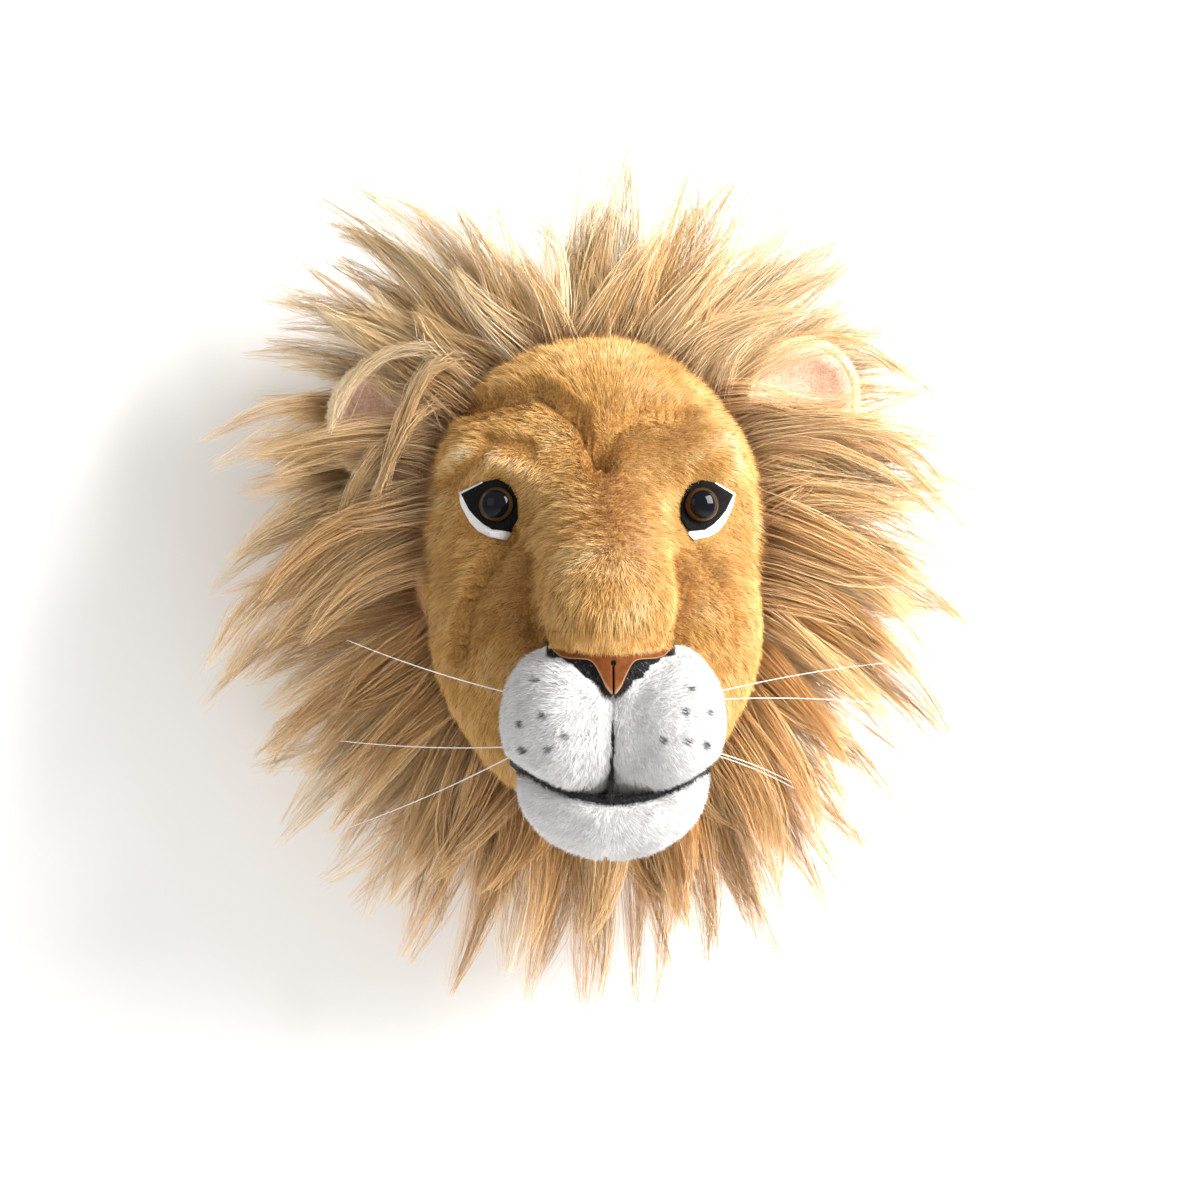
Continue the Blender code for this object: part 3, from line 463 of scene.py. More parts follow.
def pile_group():
    """Short pile: one flat, pointed blade on each point, standing along aim with its flat to face."""
    pile = Growth("short pile", {"Material": "Material"})
    grid = {"Size X": 1.0, "Size Y": 1.0, "Vertices X": 2, "Vertices Y": 2}
    blade = pile.node("GeometryNodeMeshGrid", None, grid)
    spot = pile.node("GeometryNodeInputPosition")
    blade = pile.store(blade, "along", pile.part(spot, "Y") + 0.5)
    along = pile.attribute("along")
    narrowed = pile.part(spot, "X") * (1.0 - along ** 2.0)
    inputs = {"Geometry": blade, "Position": pile.vector(narrowed, 0.0, along)}
    blade = pile.node("GeometryNodeSetPosition", None, inputs)
    blade = pile.node("GeometryNodeMergeByDistance", None, {"Geometry": blade, "Distance": 0.001})
    axes = {"primary_axis": "Z", "secondary_axis": "Y"}
    ways = {0: pile.attribute("aim", "FLOAT_VECTOR"), 1: pile.attribute("face", "FLOAT_VECTOR")}
    turned = pile.node("FunctionNodeAxesToRotation", axes, ways)
    size = pile.vector(pile.attribute("wide"), pile.attribute("long"), pile.attribute("long"))
    inputs = {"Points": pile.given("Geometry"), "Instance": blade, "Rotation": turned, "Scale": size}
    pile.end(pile.node("GeometryNodeInstanceOnPoints", None, inputs))
    return pile


short_pile = pile_group()


def point_object(name, points, edges, **attributes):
    """Points, loose or joined by edges, that carry one value, or one direction, each."""
    mesh = bpy.data.meshes.new(name)
    mesh.from_pydata([tuple(p) for p in points], edges, [])
    for label, values in attributes.items():
        vector = values.ndim == 2
        held = mesh.attributes.new(label, "FLOAT_VECTOR" if vector else "FLOAT", "POINT")
        row = np.ascontiguousarray(values, dtype=np.float32).ravel()
        held.data.foreach_set("vector" if vector else "value", row)
    return new_object(name, mesh)


def pile_object(name, roots, outward, comb, rise, length, width, tint, seed, material):
    """Blades rooted at points, leaning along comb and rising away from the surface by rise."""
    draw = np.random.default_rng(seed)
    clumps = ripples(roots, 0.0075, seed + 1) + 0.3 * ripples(roots, 0.0028, seed + 2)
    flat = unit(comb - np.sum(comb * outward, axis=1)[:, None] * outward)
    loose = draw.normal(size=roots.shape)
    aim = outward * np.reshape(rise, (-1, 1)) + flat + PILE_CLUMPED * clumps + PILE_LOOSE * loose
    aim = unit(aim)
    lifted = np.maximum(PILE_LEAST_RISE - np.sum(aim * outward, axis=1), 0.0)
    aim = unit(aim + outward * lifted[:, None])
    twist = draw.uniform(-PILE_TWIST, PILE_TWIST, len(roots))
    face = outward + np.cross(aim, outward) * twist[:, None]
    long = length * draw.uniform(*PILE_LENGTHS, len(roots))
    wide = width * draw.uniform(*PILE_WIDTHS, len(roots))
    tints = np.clip(tint + PILE_TINTS * draw.normal(size=len(roots)), 0.01, 0.99)
    places = swapped(roots - PILE_SUNK * outward)
    aim, face = swapped(aim), swapped(face)
    points = point_object(name, places, [], aim=aim, face=face, long=long, wide=wide, tint=tints)
    return short_pile.grow(name, points, Material=material)


def strand_finish(name, stops, root, root_shade_share, roughness):
    """A finish for strands: a colour of the strand's own, running towards the root into its root's colour, a
    painted shade deep in the pile.
    """
    fixed = {"Specular_IOR_Level": 0.25, "Sheen_Weight": 0.25, "Sheen_Roughness": 0.4}
    strands = Finish(name, Roughness=roughness, **fixed)
    own, along = strands.on_strand()
    # Darker towards the root: painted shade deep in the pile.
    deep = (1.0 - along) ** 1.6 * root_shade_share
    shade = strands.mix(deep, strands.ramp(own, *stops), (*root, 1.0))
    return strands.show(Base_Color=shade)


def backing_finish(name, dark, light):
    """The cloth that the pile is woven into, seen only where the strands part."""
    backing = Finish(name, Roughness=0.95)
    weave = backing.noise(900.0, 3.0)
    shade = backing.ramp(weave, (0.35, dark), (0.65, light))
    return backing.show(Base_Color=shade, Normal=backing.bump(weave, 0.6, 0.0008))


# The golden cloth's dark colours are painted shade where the strands part.
gold_backing = backing_finish("golden cloth", GOLD_SHADE, GOLD_DEEP)
gold_stops = (
    (0.0, GOLD_SHADE), (0.3, GOLD_DEEP), (0.55, GOLD_MIDDLE), (0.8, GOLD_LIGHT), (1.0, GOLD_PALE),
)
gold_strands = strand_finish("golden pile", gold_stops, GOLD_SHADE, 0.85, 0.6)
head_skin = sculpted("head_skin", head_distance, HEAD_CENTRE, 0.20, 128, 104, "forward", 1.2, gold_backing)


# The white muzzle and chin: two stuffed pads with a shallow cleft between them, and a rounded
# chin below, both of white plush, sewn to the front of the head.
PAD = ((0.0213, 0.196, -0.0612), (0.0237, 0.038, 0.0310))
PAD_SHIFT, PAD_SOFTNESS, MIDDLE_SOFTNESS = 0.0020, 0.005, 0.008
MUZZLE_MIDDLE = ((0.0, 0.190, -0.060), (0.030, 0.038, 0.031))
UNDER_NOSE = ((0.0, 0.196, -0.040), (0.026, 0.0295, 0.016))
CLEFT_DEPTH, CLEFT_HALF_WIDTH = 0.0036, 0.0034
MUZZLE_CENTRE = (0.0, 0.194, -0.060)
CHIN_CENTRE = (0.0030, 0.178, -0.107)
CHIN = ((0.0030, 0.180, -0.088), (0.0385, 0.036, 0.031))
MOUTH_UP, MOUTH_RISE, MOUTH_HALF_WIDTH, LIP_HALF = -0.0935, 0.0145, 0.041, 0.0006
SEAM_SOFTNESS = 0.005
NOSE_FORWARD, NOSE_ROUND, NOSE_LEAN, WING_UP = 0.2280, 17.0, 0.12, -0.0372
NOSTRIL_REACH, NOSE_DEPTH, NOSTRIL_FADE, NOSTRIL_RISE = 0.0264, 0.0042, 0.0012, 0.03
NOSTRIL_EDGE = (
    (0.0, 0.0020, 0.0075, 0.0130, 0.0165, 0.0195, 0.0250, 0.0285),
    (-0.0500, -0.0493, -0.0455, -0.0422, -0.0388, -0.0358, -0.0336, -0.0305),
)
SKIN_GAP = 0.0004
WHISKER_DOTS = (
    (-0.0298, -0.0434), (-0.0273, -0.0572), (-0.0361, -0.0610), (-0.0187, -0.0657), (-0.0252, -0.0709),
    (-0.0351, -0.0717), (0.0302, -0.0472), (0.0277, -0.0557), (0.0382, -0.0566), (0.0188, -0.0671),
    (0.0286, -0.0680), (0.0368, -0.0696),
)
DOT_RADIUS = 0.0017
WHITE_STRANDS, CHIN_STRANDS = 46000, 22000
WHITE_LENGTH, WHITE_WIDTH = 0.0040, 0.00034
# Where the white pile stops: off the head, turned to the back, by the mouth, nostrils and cleft.
WHITE_OFF_HEAD, WHITE_BACK, WHITE_OFF_MOUTH, WHITE_OFF_NOSTRILS = 0.0015, -0.55, 0.0003, 0.0004
CLEFT_CLEAR, CLEFT_CLEAR_TOP = 0.0009, -0.052
# The way it is combed, and how short it is beside a seam and how far from it that is felt.
WHITE_COMB, COMB_WIDTH, TRIM_SHARE, TRIM_WIDTH = (0.9, -0.3, -0.55), 0.012, 0.45, 0.008
WHITE_BLACK, WHITE_GREY = (0.02,) * 3, (0.28, 0.28, 0.29)
WHITE_ROOT, WHITE_TIP = (0.56, 0.55, 0.55), (0.87, 0.86, 0.85)


def smile_up(across):
    """Height of the mouth's middle line."""
    return MOUTH_UP + MOUTH_RISE * ((across - PAD_SHIFT) / MOUTH_HALF_WIDTH) ** 2


def pads_distance(points):
    shifted = points - np.array((PAD_SHIFT, 0.0, 0.0))
    pads = [ellipsoid_distance(shifted, mirrored(PAD[0], side), PAD[1]) for side in (-1, 1)]
    skin = melt(pads[0], pads[1], PAD_SOFTNESS)
    for centre, radii in (MUZZLE_MIDDLE, UNDER_NOSE):
        skin = melt(skin, ellipsoid_distance(points, centre, radii), MIDDLE_SOFTNESS)
    near = points[:, 0] / CLEFT_HALF_WIDTH
    return skin + CLEFT_DEPTH * np.exp(-near * near)


def nose_forward(across, up):
    """How far forward the leather of the nose lies."""
    return NOSE_FORWARD - NOSE_ROUND * across * across - NOSE_LEAN * (up - WING_UP)


def above_nostrils(across, up):
    """How far a place is inside the outline that the nose and both nostrils fill."""
    edge = np.interp(np.abs(across), *NOSTRIL_EDGE)
    return np.minimum(up - edge, NOSTRIL_REACH - np.abs(across))


def muzzle_distance(points):
    """The pads above the mouth, in front of the head and behind the nose."""
    below = smile_up(points[:, 0]) + LIP_HALF - points[:, 2]
    skin = -melt(-pads_distance(points), -below, SEAM_SOFTNESS)
    behind = points[:, 1] - nose_forward(points[:, 0], points[:, 2]) + NOSE_DEPTH
    room = np.clip(above_nostrils(points[:, 0], points[:, 2]) / NOSTRIL_FADE, 0.0, 1.0)
    skin = np.maximum(skin, behind - NOSTRIL_RISE * (1.0 - room))
    return np.maximum(skin, SKIN_GAP - head_distance(points))


def chin_distance(points):
    """The chin below the mouth, in front of the head."""
    above = points[:, 2] - smile_up(points[:, 0]) + LIP_HALF
    skin = -melt(-ellipsoid_distance(points, *CHIN), -above, SEAM_SOFTNESS)
    return np.maximum(skin, SKIN_GAP - head_distance(points))


# The white cloth's greys are painted shade where the strands part, and so is the grey that the white strands
# run into at their roots.
white_backing = backing_finish("white cloth", (0.55, 0.54, 0.54), (0.72, 0.71, 0.70))
white_stops = (
    (0.0, WHITE_BLACK), (0.25, WHITE_BLACK), (0.35, WHITE_GREY), (0.5, WHITE_ROOT), (1.0, WHITE_TIP),
)
white_strands = strand_finish("white pile", white_stops, WHITE_ROOT, 0.55, 0.65)
muzzle_skin = sculpted("muzzle_skin", muzzle_distance, MUZZLE_CENTRE, 0.09, 72, 48, "up", 1.0, white_backing)
chin_skin = sculpted("chin_skin", chin_distance, CHIN_CENTRE, 0.09, 60, 36, "up", 1.0, white_backing)


def white_pile(name, skin, count, seed):
    roots, outward = scattered(skin, int(count * 1.9), seed)
    across, up = roots[:, 0], roots[:, 2]
    off_mouth, in_nostril = np.abs(up - smile_up(across)), above_nostrils(across, up)
    seen = (head_distance(roots) > WHITE_OFF_HEAD) & (outward[:, 1] > WHITE_BACK)
    seen &= (off_mouth > LIP_HALF + WHITE_OFF_MOUTH) & (in_nostril < -WHITE_OFF_NOSTRILS)
    seen &= ~((np.abs(across) < CLEFT_CLEAR) & (up < CLEFT_CLEAR_TOP))
    rows = (roots, outward, np.minimum(off_mouth, -in_nostril))
    roots, outward, room = (row[seen][:count] for row in rows)
    across, level = roots[:, 0], np.ones(len(roots))
    sideways = np.sign(across) * np.minimum(np.abs(across) / COMB_WIDTH, 1.0)
    comb = np.stack((sideways, level, level), axis=1) * WHITE_COMB
    tint = 0.78 + 0.06 * ripples(roots, 0.012, seed)[:, 0] + 0.05 * ripples(roots, 0.004, seed + 5)[:, 0]
    for dot in WHISKER_DOTS:
        away = np.linalg.norm(roots[:, (0, 2)] - np.array(dot), axis=1)
        tint = np.where(away < DOT_RADIUS, 0.12 + 0.2 * (away / DOT_RADIUS) ** 2, tint)
    length = WHITE_LENGTH * np.clip(TRIM_SHARE + room / TRIM_WIDTH, TRIM_SHARE, 1.0)
    return pile_object(name, roots, outward, comb, 0.95, length, WHITE_WIDTH, tint, seed, white_strands)


muzzle_pile = white_pile("muzzle_pile", muzzle_skin, WHITE_STRANDS, 21)
chin_pile = white_pile("chin_pile", chin_skin, CHIN_STRANDS, 22)
for piece, node in (
    (muzzle_skin, "muzzle"), (muzzle_pile, "muzzle"), (chin_skin, "chin"), (chin_pile, "chin"),
):
    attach(piece, "root")
    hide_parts(node)


# The eyes: domes of dark plastic with a brown ring around the pupil, each through a patch of
# black felt with a strip of white felt under its lower edge.
EYE_ACROSS, EYE_UP, EYE_PROUD = 0.0440, 0.0297, 0.0022
EYE_RADIUS, EYE_BULGE, EYE_TURN = 0.0078, 0.0062, 0.20
BLACK_FELT = (
    (0.0143, 0.0048), (0.0109, -0.0023), (0.0076, -0.0062), (0.0052, -0.0087), (0.0016, -0.0111),
    (-0.0059, -0.0118), (-0.0091, -0.0062), (-0.0088, 0.0020), (-0.0056, 0.0084), (0.0000, 0.0107),
    (0.0060, 0.0094),
)
WHITE_FELT = (
    (0.0155, 0.0053), (0.0145, -0.0002), (0.0107, -0.0078), (0.0070, -0.0119), (0.0028, -0.0143),
    (-0.0033, -0.0155), (-0.0062, -0.0128), (-0.0052, -0.0105), (0.0022, -0.0098), (0.0078, -0.0045),
    (0.0100, 0.0030), (0.0030, 0.0075), (0.0062, 0.0098),
)
PUPIL_SHARE, PUPIL_EDGE, RING_SHARE, RING_EDGE = 0.78, 0.03, 0.97, 0.04
PUPIL_COLOUR, RING_COLOUR, RIM_COLOUR = (0.002, 0.003, 0.005), (0.060, 0.030, 0.012), (0.010, 0.007, 0.005)
# Of each felt: how far it lies off the head, and how thick it is.
BLACK_LIFT, BLACK_THICK, WHITE_LIFT, WHITE_THICK = 0.0005, 0.0011, 0.0001, 0.0009


def felt_finish(name, dark, light):
    felt = Finish(name, Roughness=0.95, Specular_IOR_Level=0.15)
    matted = felt.noise(1400.0, 6.0)
    shade = felt.ramp(matted, (0.35, dark), (0.7, light))
    return felt.show(Base_Color=shade, Normal=felt.bump(matted, 0.8, 0.0004))


def eye_finish():
    eye = Finish("eye plastic", Roughness=0.05, Specular_IOR_Level=0.18)
    place = eye.node("ShaderNodeUVMap", {"uv_map": "OFBake"})
    centred = eye.node("ShaderNodeVectorMath", {"operation": "SUBTRACT"}, {0: place, 1: (0.5, 0.5, 0.0)})
    off_centre = eye.node("ShaderNodeVectorMath", {"operation": "LENGTH"}, {0: centred}, "Value") * 2.0
    shade = eye.ramp(
        off_centre, (0.0, PUPIL_COLOUR), (PUPIL_SHARE - PUPIL_EDGE, PUPIL_COLOUR),
        (PUPIL_SHARE + PUPIL_EDGE, RING_COLOUR), (RING_SHARE - RING_EDGE, RING_COLOUR),
        (RING_SHARE, RIM_COLOUR), (1.0, RIM_COLOUR),
    )
    return eye.show(Base_Color=shade)


def eye_dome(name, side, material):
    forward = float(surface_forward(head_distance, EYE_ACROSS, EYE_UP)[0]) + EYE_PROUD
    turn = Matrix.Rotation(side * EYE_TURN, 3, "Z")
    middle = Vector((side * EYE_ACROSS, -forward, EYE_UP))
    bm = bmesh.new()
    bmesh.ops.create_uvsphere(bm, u_segments=48, v_segments=24, radius=1.0)
    layer = bm.loops.layers.uv.new("OFBake")
    for face in bm.faces:
        for loop in face.loops:
            loop[layer].uv = (0.5 + loop.vert.co.x / 2, 0.5 + loop.vert.co.y / 2)
    for v in bm.verts:
        own = Vector((v.co.x * EYE_RADIUS, -v.co.z * EYE_BULGE, v.co.y * EYE_RADIUS))
        v.co = middle + turn @ own
    return finished_mesh(name, bm, material)


def felt_piece(name, outline, side, lift, thickness, material):
    """A cut felt shape laid over the head's skin."""
    bm = bmesh.new()
    corners = [bm.verts.new((side * (EYE_ACROSS + out), 0.0, EYE_UP + up)) for out, up in outline]
    bm.faces.new(corners)
    bmesh.ops.triangulate(bm, faces=bm.faces)
    bmesh.ops.subdivide_edges(bm, edges=bm.edges, cuts=5, use_grid_fill=True)
    bmesh.ops.triangulate(bm, faces=bm.faces)
    places = np.array([v.co for v in bm.verts])
    forward = surface_forward(head_distance, places[:, 0], places[:, 2])
    for v, far in zip(bm.verts, forward):
        v.co.y = -far - lift
    bm.normal_update()
    if sum(face.normal.y for face in bm.faces) > 0:
        bmesh.ops.reverse_faces(bm, faces=bm.faces)
    bm.normal_update()
    made = finished_mesh(name, bm, material, closed=False)
    wall_step = made.modifiers.new("thickness", "SOLIDIFY")
    wall_step.thickness, wall_step.offset = thickness, 1.0
    return made


eye_plastic = eye_finish()
black_felt = felt_finish("black felt", (0.003, 0.003, 0.003), (0.010, 0.010, 0.010))
white_felt = felt_finish("white felt", (0.72, 0.70, 0.69), (0.90, 0.89, 0.87))
for word, side in (("left", -1), ("right", 1)):
    dome = eye_dome(f"eye_{word}_dome", side, eye_plastic)
    patch = felt_piece(f"eye_patch_{word}_felt", BLACK_FELT, side, BLACK_LIFT, BLACK_THICK, black_felt)
    strip = felt_piece(f"eye_rim_{word}_felt", WHITE_FELT, side, WHITE_LIFT, WHITE_THICK, white_felt)
    for piece, node, slot in (
        (dome, f"eye_{word}", "eye_plastic"), (patch, f"eye_patch_{word}", "black_felt"),
        (strip, f"eye_rim_{word}", "white_felt"),
    ):
        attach(piece, "root")
        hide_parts(node)


# The golden pile of the face, combed from the middle of the brow outwards and down, laid
# close in the creases and trimmed around the eyes.
COMB_FROM, COMB_DOWN, COMB_OFF_CREASE = (0.004, 0.050), (0.0, -0.2, -0.45), 2.2
PILE_START, PILE_OFF_PADS = 0.094, 0.0006
EYE_TRIM_SHARE, EYE_TRIM_WIDTH = 0.35, 0.009
# Of the line along each crease: how wide it is, and how deep the crease is where its line is felt in full.
# The line is darkened as a painted shade, and the pile beside it is shortened.
CREASE_LINE_HALF_WIDTH, CREASE_LINE_DEEP = 0.0014, 0.005
# The middle and the size (across, up) of a lighter patch of tint on the bridge of the nose, a painted light.
BRIDGE_PAINTED_LIGHT = (np.array((0.003, 0.006)), np.array((0.019, 0.016)))
# The end of the bridge: where its fringe begins, and the strands that hang from it over the nose.
FRINGE_END, FRINGE_FORWARD, FRINGE_UP, FRINGE_FADE = -0.0300, 0.212, -0.010, 0.008
FRINGE_COMB, FRINGE_LONGER = (0.0, 0.4, -2.4), 0.60
HUNG_STRANDS, HUNG_FROM, HUNG_LENGTH, HUNG_REACH = 4000, (-0.0300, -0.0238), 0.0050, 0.0250
HUNG_OFF_NOSE, HUNG_SPLAY, HUNG_LOOSE, HUNG_TAPER = 0.0007, 8.0, 0.2, 0.60
# Lines (across, up) on each side along which the tint is lighter, a painted highlight on the brow ridges.
BROW_HIGHLIGHT_RIDGES = {
    -1: ((-0.064, 0.044), (-0.056, 0.052), (-0.040, 0.050), (-0.026, 0.043)),
    1: ((0.036, 0.048), (0.046, 0.056), (0.056, 0.056), (0.061, 0.046)),
}


def inside(places, outline):
    """Whether places, as (across, up), are inside a closed outline."""
    odd = np.zeros(len(places), dtype=bool)
    for (x0, z0), (x1, z1) in zip(outline, outline[1:] + outline[:1]):
        if z0 == z1:
            continue
        crosses = (places[:, 1] > min(z0, z1)) & (places[:, 1] <= max(z0, z1))
        odd ^= crosses & (places[:, 0] < x0 + (places[:, 1] - z0) * (x1 - x0) / (z1 - z0))
    return odd


def crease_lean(points):
    """The way off the middle line of each crease, as strong as the crease is felt there."""
    step = 0.0005
    lean = np.zeros((len(points), 3))
    for path, depth, width in CREASES:
        flat = points[:, (0, 2)]
        felt = depth / 0.005 * np.exp(-np.square(path_distance(flat, path) / (1.6 * width)))
        for axis, shift in ((0, (step, 0.0)), (2, (0.0, step))):
            slope = path_distance(flat + shift, path) - path_distance(flat - np.array(shift), path)
            lean[:, axis] += felt * slope / (2 * step)
    return lean


def crease_lines(flat, half_width):
    """How much the line of a crease is felt at places, given as (across, up)."""
    return np.max([
        min(depth / CREASE_LINE_DEEP, 1.0) * np.exp(-np.square(path_distance(flat, path) / half_width))
        for path, depth, _ in CREASES
    ], axis=0)


def golden_pile(word, side):
    roots, outward = scattered(head_skin, GOLD_STRANDS * 5, 31 + side)
    across, forward, up = roots.T
    seen = (side * across > 0) & (forward > PILE_START) & (pads_distance(roots) > PILE_OFF_PADS)
    behind_nose = (above_nostrils(across, up) > -0.0005) & (up < FRINGE_END) & (forward > 0.19)
    seen &= (ellipsoid_distance(roots, *CHIN) > PILE_OFF_PADS) & ~behind_nose
    room = np.full(len(roots), 1.0)
    flat = roots[:, (0, 2)]
    for felt in (BLACK_FELT, WHITE_FELT):
        outline = tuple((side * (EYE_ACROSS + x), EYE_UP + z) for x, z in felt)
        seen &= ~inside(flat, outline)
        room = np.minimum(room, path_distance(flat, outline + outline[:1]))
    roots, outward, room, flat = (row[seen][:GOLD_STRANDS] for row in (roots, outward, room, flat))
    across, forward, up = roots.T
    crease_shade = np.minimum((crease_depths(roots) / 0.006).max(axis=0), 1.0)
    line, beside = (crease_lines(flat, width * CREASE_LINE_HALF_WIDTH) for width in (1, 3))
    comb = np.stack((across - COMB_FROM[0], 0 * room, up - COMB_FROM[1]), axis=1)
    comb = unit(comb) + np.array(COMB_DOWN) + COMB_OFF_CREASE * crease_lean(roots)
    fringe = np.clip((forward - FRINGE_FORWARD) / FRINGE_FADE, 0.0, 1.0)
    fringe = fringe * np.clip((FRINGE_UP - up) / FRINGE_FADE, 0.0, 1.0)
    comb = comb + fringe[:, None] * np.array(FRINGE_COMB)
    trimmed = np.clip(EYE_TRIM_SHARE + room / EYE_TRIM_WIDTH, EYE_TRIM_SHARE, 1.0)
    length = GOLD_LENGTH * trimmed * (1.0 - 0.45 * beside) * (1.0 + FRINGE_LONGER * fringe)
    brow_highlight = np.exp(-np.square(path_distance(flat, BROW_HIGHLIGHT_RIDGES[side]) / 0.0040))
    bridge_light = np.exp(-np.sum(np.square((flat - BRIDGE_PAINTED_LIGHT[0]) / BRIDGE_PAINTED_LIGHT[1]), axis=1))
    tint = 0.62 + 0.09 * ripples(roots, 0.030, 32)[:, 0] + 0.07 * ripples(roots, 0.009, 33)[:, 1]
    tint = tint + 0.05 * ripples(roots, 0.003, 35)[:, 1]
    # Painted shade: the tint is darker in the creases and darker still along their lines. A painted highlight
    # on the brow ridges and painted light on the bridge make it lighter there.
    tint = tint - 0.18 * crease_shade - 0.60 * line + 0.26 * brow_highlight + 0.16 * bridge_light
    rise = 0.80 - 0.30 * np.clip((forward - 0.185) / 0.02, 0.0, 1.0)
    lying = (roots, outward, comb, rise, length, tint)

    draw = np.random.default_rng(38 + side)
    across = side * draw.uniform(0.0, HUNG_REACH, HUNG_STRANDS)
    up = draw.uniform(*HUNG_FROM, HUNG_STRANDS)
    hung = np.stack((across, nose_forward(across, up) + HUNG_OFF_NOSE, up), axis=1)
    level = np.ones(HUNG_STRANDS)
    splay = HUNG_SPLAY * across + HUNG_LOOSE * draw.normal(size=HUNG_STRANDS)
    comb = np.stack((splay, 0 * level, -level), axis=1)
    length = HUNG_LENGTH * (1.0 - HUNG_TAPER * np.square(across / HUNG_REACH))
    tint = 0.60 + 0.12 * ripples(hung, 0.004, 39)[:, 0]
    hanging = (hung, level[:, None] * (0.0, 1.0, 0.0), comb, 0.3 * level, length, tint)
    roots, outward, comb, rise, length, tint = map(np.concatenate, zip(lying, hanging))
    name = f"head_pile_{word}"
    return pile_object(name, roots, outward, comb, rise, length, GOLD_WIDTH, tint, 36 + side, gold_strands)


head_pieces = [head_skin, golden_pile("left", -1), golden_pile("right", 1)]
for piece in head_pieces:
    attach(piece, "root")
    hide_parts("head")


# The black line of the mouth: a strip of black plush sewn in between the muzzle and the chin,
# with a cord of it running up the cleft towards the nose.
LIP_STRIP_HALF, LIP_END_HALF = 0.0017, 0.0003
LIP_RECESS, LIP_DEPTH = 0.0012, 0.0050
PHILTRUM_TOP, PHILTRUM_RADIUS, PHILTRUM_RECESS = -0.0600, 0.0011, 0.0004
LIP_STRANDS, LIP_LENGTH, BLACK_WIDTH = 3600, 0.0026, 0.00042
BLACK_DARK, BLACK_MIDDLE, BLACK_SPECK = (0.010, 0.010, 0.011), (0.035, 0.035, 0.038), (0.55, 0.52, 0.50)


def tube_into(bm, points, radii, sides=8):
    """A closed tube through (across, forward, up) points, with its (across, along) radii at each."""
    rings = []
    points = [Vector(p) for p in swapped(points)]
    for i, point in enumerate(points):
        ahead = (points[min(i + 1, len(points) - 1)] - points[max(i - 1, 0)]).normalized()
        guide = Vector((0.0, -1.0, 0.0)) if abs(ahead.y) < 0.9 else Vector((0.0, 0.0, 1.0))
        out = (guide - ahead * guide.dot(ahead)).normalized()
        beside = ahead.cross(out)
        ring = []
        for k in range(sides):
            angle = 2 * math.pi * (k + 0.5) / sides
            wide, high = float(radii[i][0] * math.cos(angle)), float(radii[i][1] * math.sin(angle))
            ring.append(bm.verts.new(point + (beside * wide + out * high)))
        rings.append(ring)
    for low, high in zip(rings[:-1], rings[1:]):
        for k in range(sides):
            bm.faces.new((low[k], low[(k + 1) % sides], high[(k + 1) % sides], high[k]))
    bm.faces.new(rings[0])
    bm.faces.new(rings[-1])


def mouth_front(across, up):
    def both(points):
        mouth = np.minimum(pads_distance(points), ellipsoid_distance(points, *CHIN))
        return np.minimum(mouth, head_distance(points))

    return surface_forward(both, across, up)


black_backing = backing_finish("black cloth", (0.006, 0.006, 0.006), (0.02, 0.02, 0.02))
black_stops = ((0.0, BLACK_DARK), (0.7, BLACK_MIDDLE), (0.9, BLACK_MIDDLE), (1.0, BLACK_SPECK))
black_strands = strand_finish("black pile", black_stops, BLACK_DARK, 0.6, 0.5)
across = np.linspace(PAD_SHIFT - MOUTH_HALF_WIDTH, PAD_SHIFT + MOUTH_HALF_WIDTH, 41)
share = np.abs(across - PAD_SHIFT) / MOUTH_HALF_WIDTH
halves = LIP_END_HALF + (LIP_STRIP_HALF - LIP_END_HALF) * (1.0 - share ** 2)
forward = mouth_front(across, smile_up(across)) - LIP_RECESS - LIP_DEPTH / 2
line = np.stack((across, forward, smile_up(across)), axis=1)
lip = bmesh.new()
tube_into(lip, line, [(h, LIP_DEPTH / 2) for h in halves], 12)
heights = np.linspace(MOUTH_UP, PHILTRUM_TOP, 14)
line = np.stack((0 * heights, mouth_front(0 * heights, heights) - PHILTRUM_RECESS, heights), axis=1)
line[0, 1] -= LIP_RECESS
tube_into(lip, line, [(PHILTRUM_RADIUS, PHILTRUM_RADIUS)] * len(line), 8)
lip_strip = finished_mesh("lip_strip", lip, black_backing)
roots, outward = scattered(lip_strip, 3 * LIP_STRANDS, 41)
roots, outward = (row[outward[:, 1] > 0.1][:LIP_STRANDS] for row in (roots, outward))
level = np.ones(len(roots))
sideways = 0.4 * np.random.default_rng(42).normal(size=len(roots))
comb = np.stack((sideways, 0 * level, -0.5 * level), axis=1)
lip_pile = pile_object(
    "lip_pile", roots, outward, comb, 0.9, LIP_LENGTH, BLACK_WIDTH, 0.5 * level, 43, black_strands,
)
for piece in (lip_strip, lip_pile):
    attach(piece, "root")
    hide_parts("mouth_line")


# The nose: a thin rust-brown leather cut like a T, with a slit up its stem, over two nostrils
# of short black plush with a few pale hairs in it.
LEATHER_HALF_WIDTH, LEATHER_TOP, LEATHER_THICKNESS = 0.0240, -0.0308, 0.0022
LEATHER_EDGE = (
    (0.0, 0.0010, 0.0030, 0.0045, 0.0062, 0.0075, 0.0090, 0.0110, 0.0180, 0.0213, 0.0240),
    (-0.0498, -0.0494, -0.0469, -0.0435, -0.0400, -0.0376, -0.0361, -0.0355, -0.0352, -0.0343, -0.0318),
)
SLIT_TOP, SLIT_END, SLIT_HALF, SLIT_HOLE, SLIT_DEEP = -0.0369, -0.0500, 0.0005, 0.0012, 0.028
LEATHER_DARK, LEATHER_LIGHT, LEATHER_CUT_AND_HIGHLIGHT = (0.12, 0.030, 0.005), (0.21, 0.058, 0.010), (0.40, 0.24, 0.12)
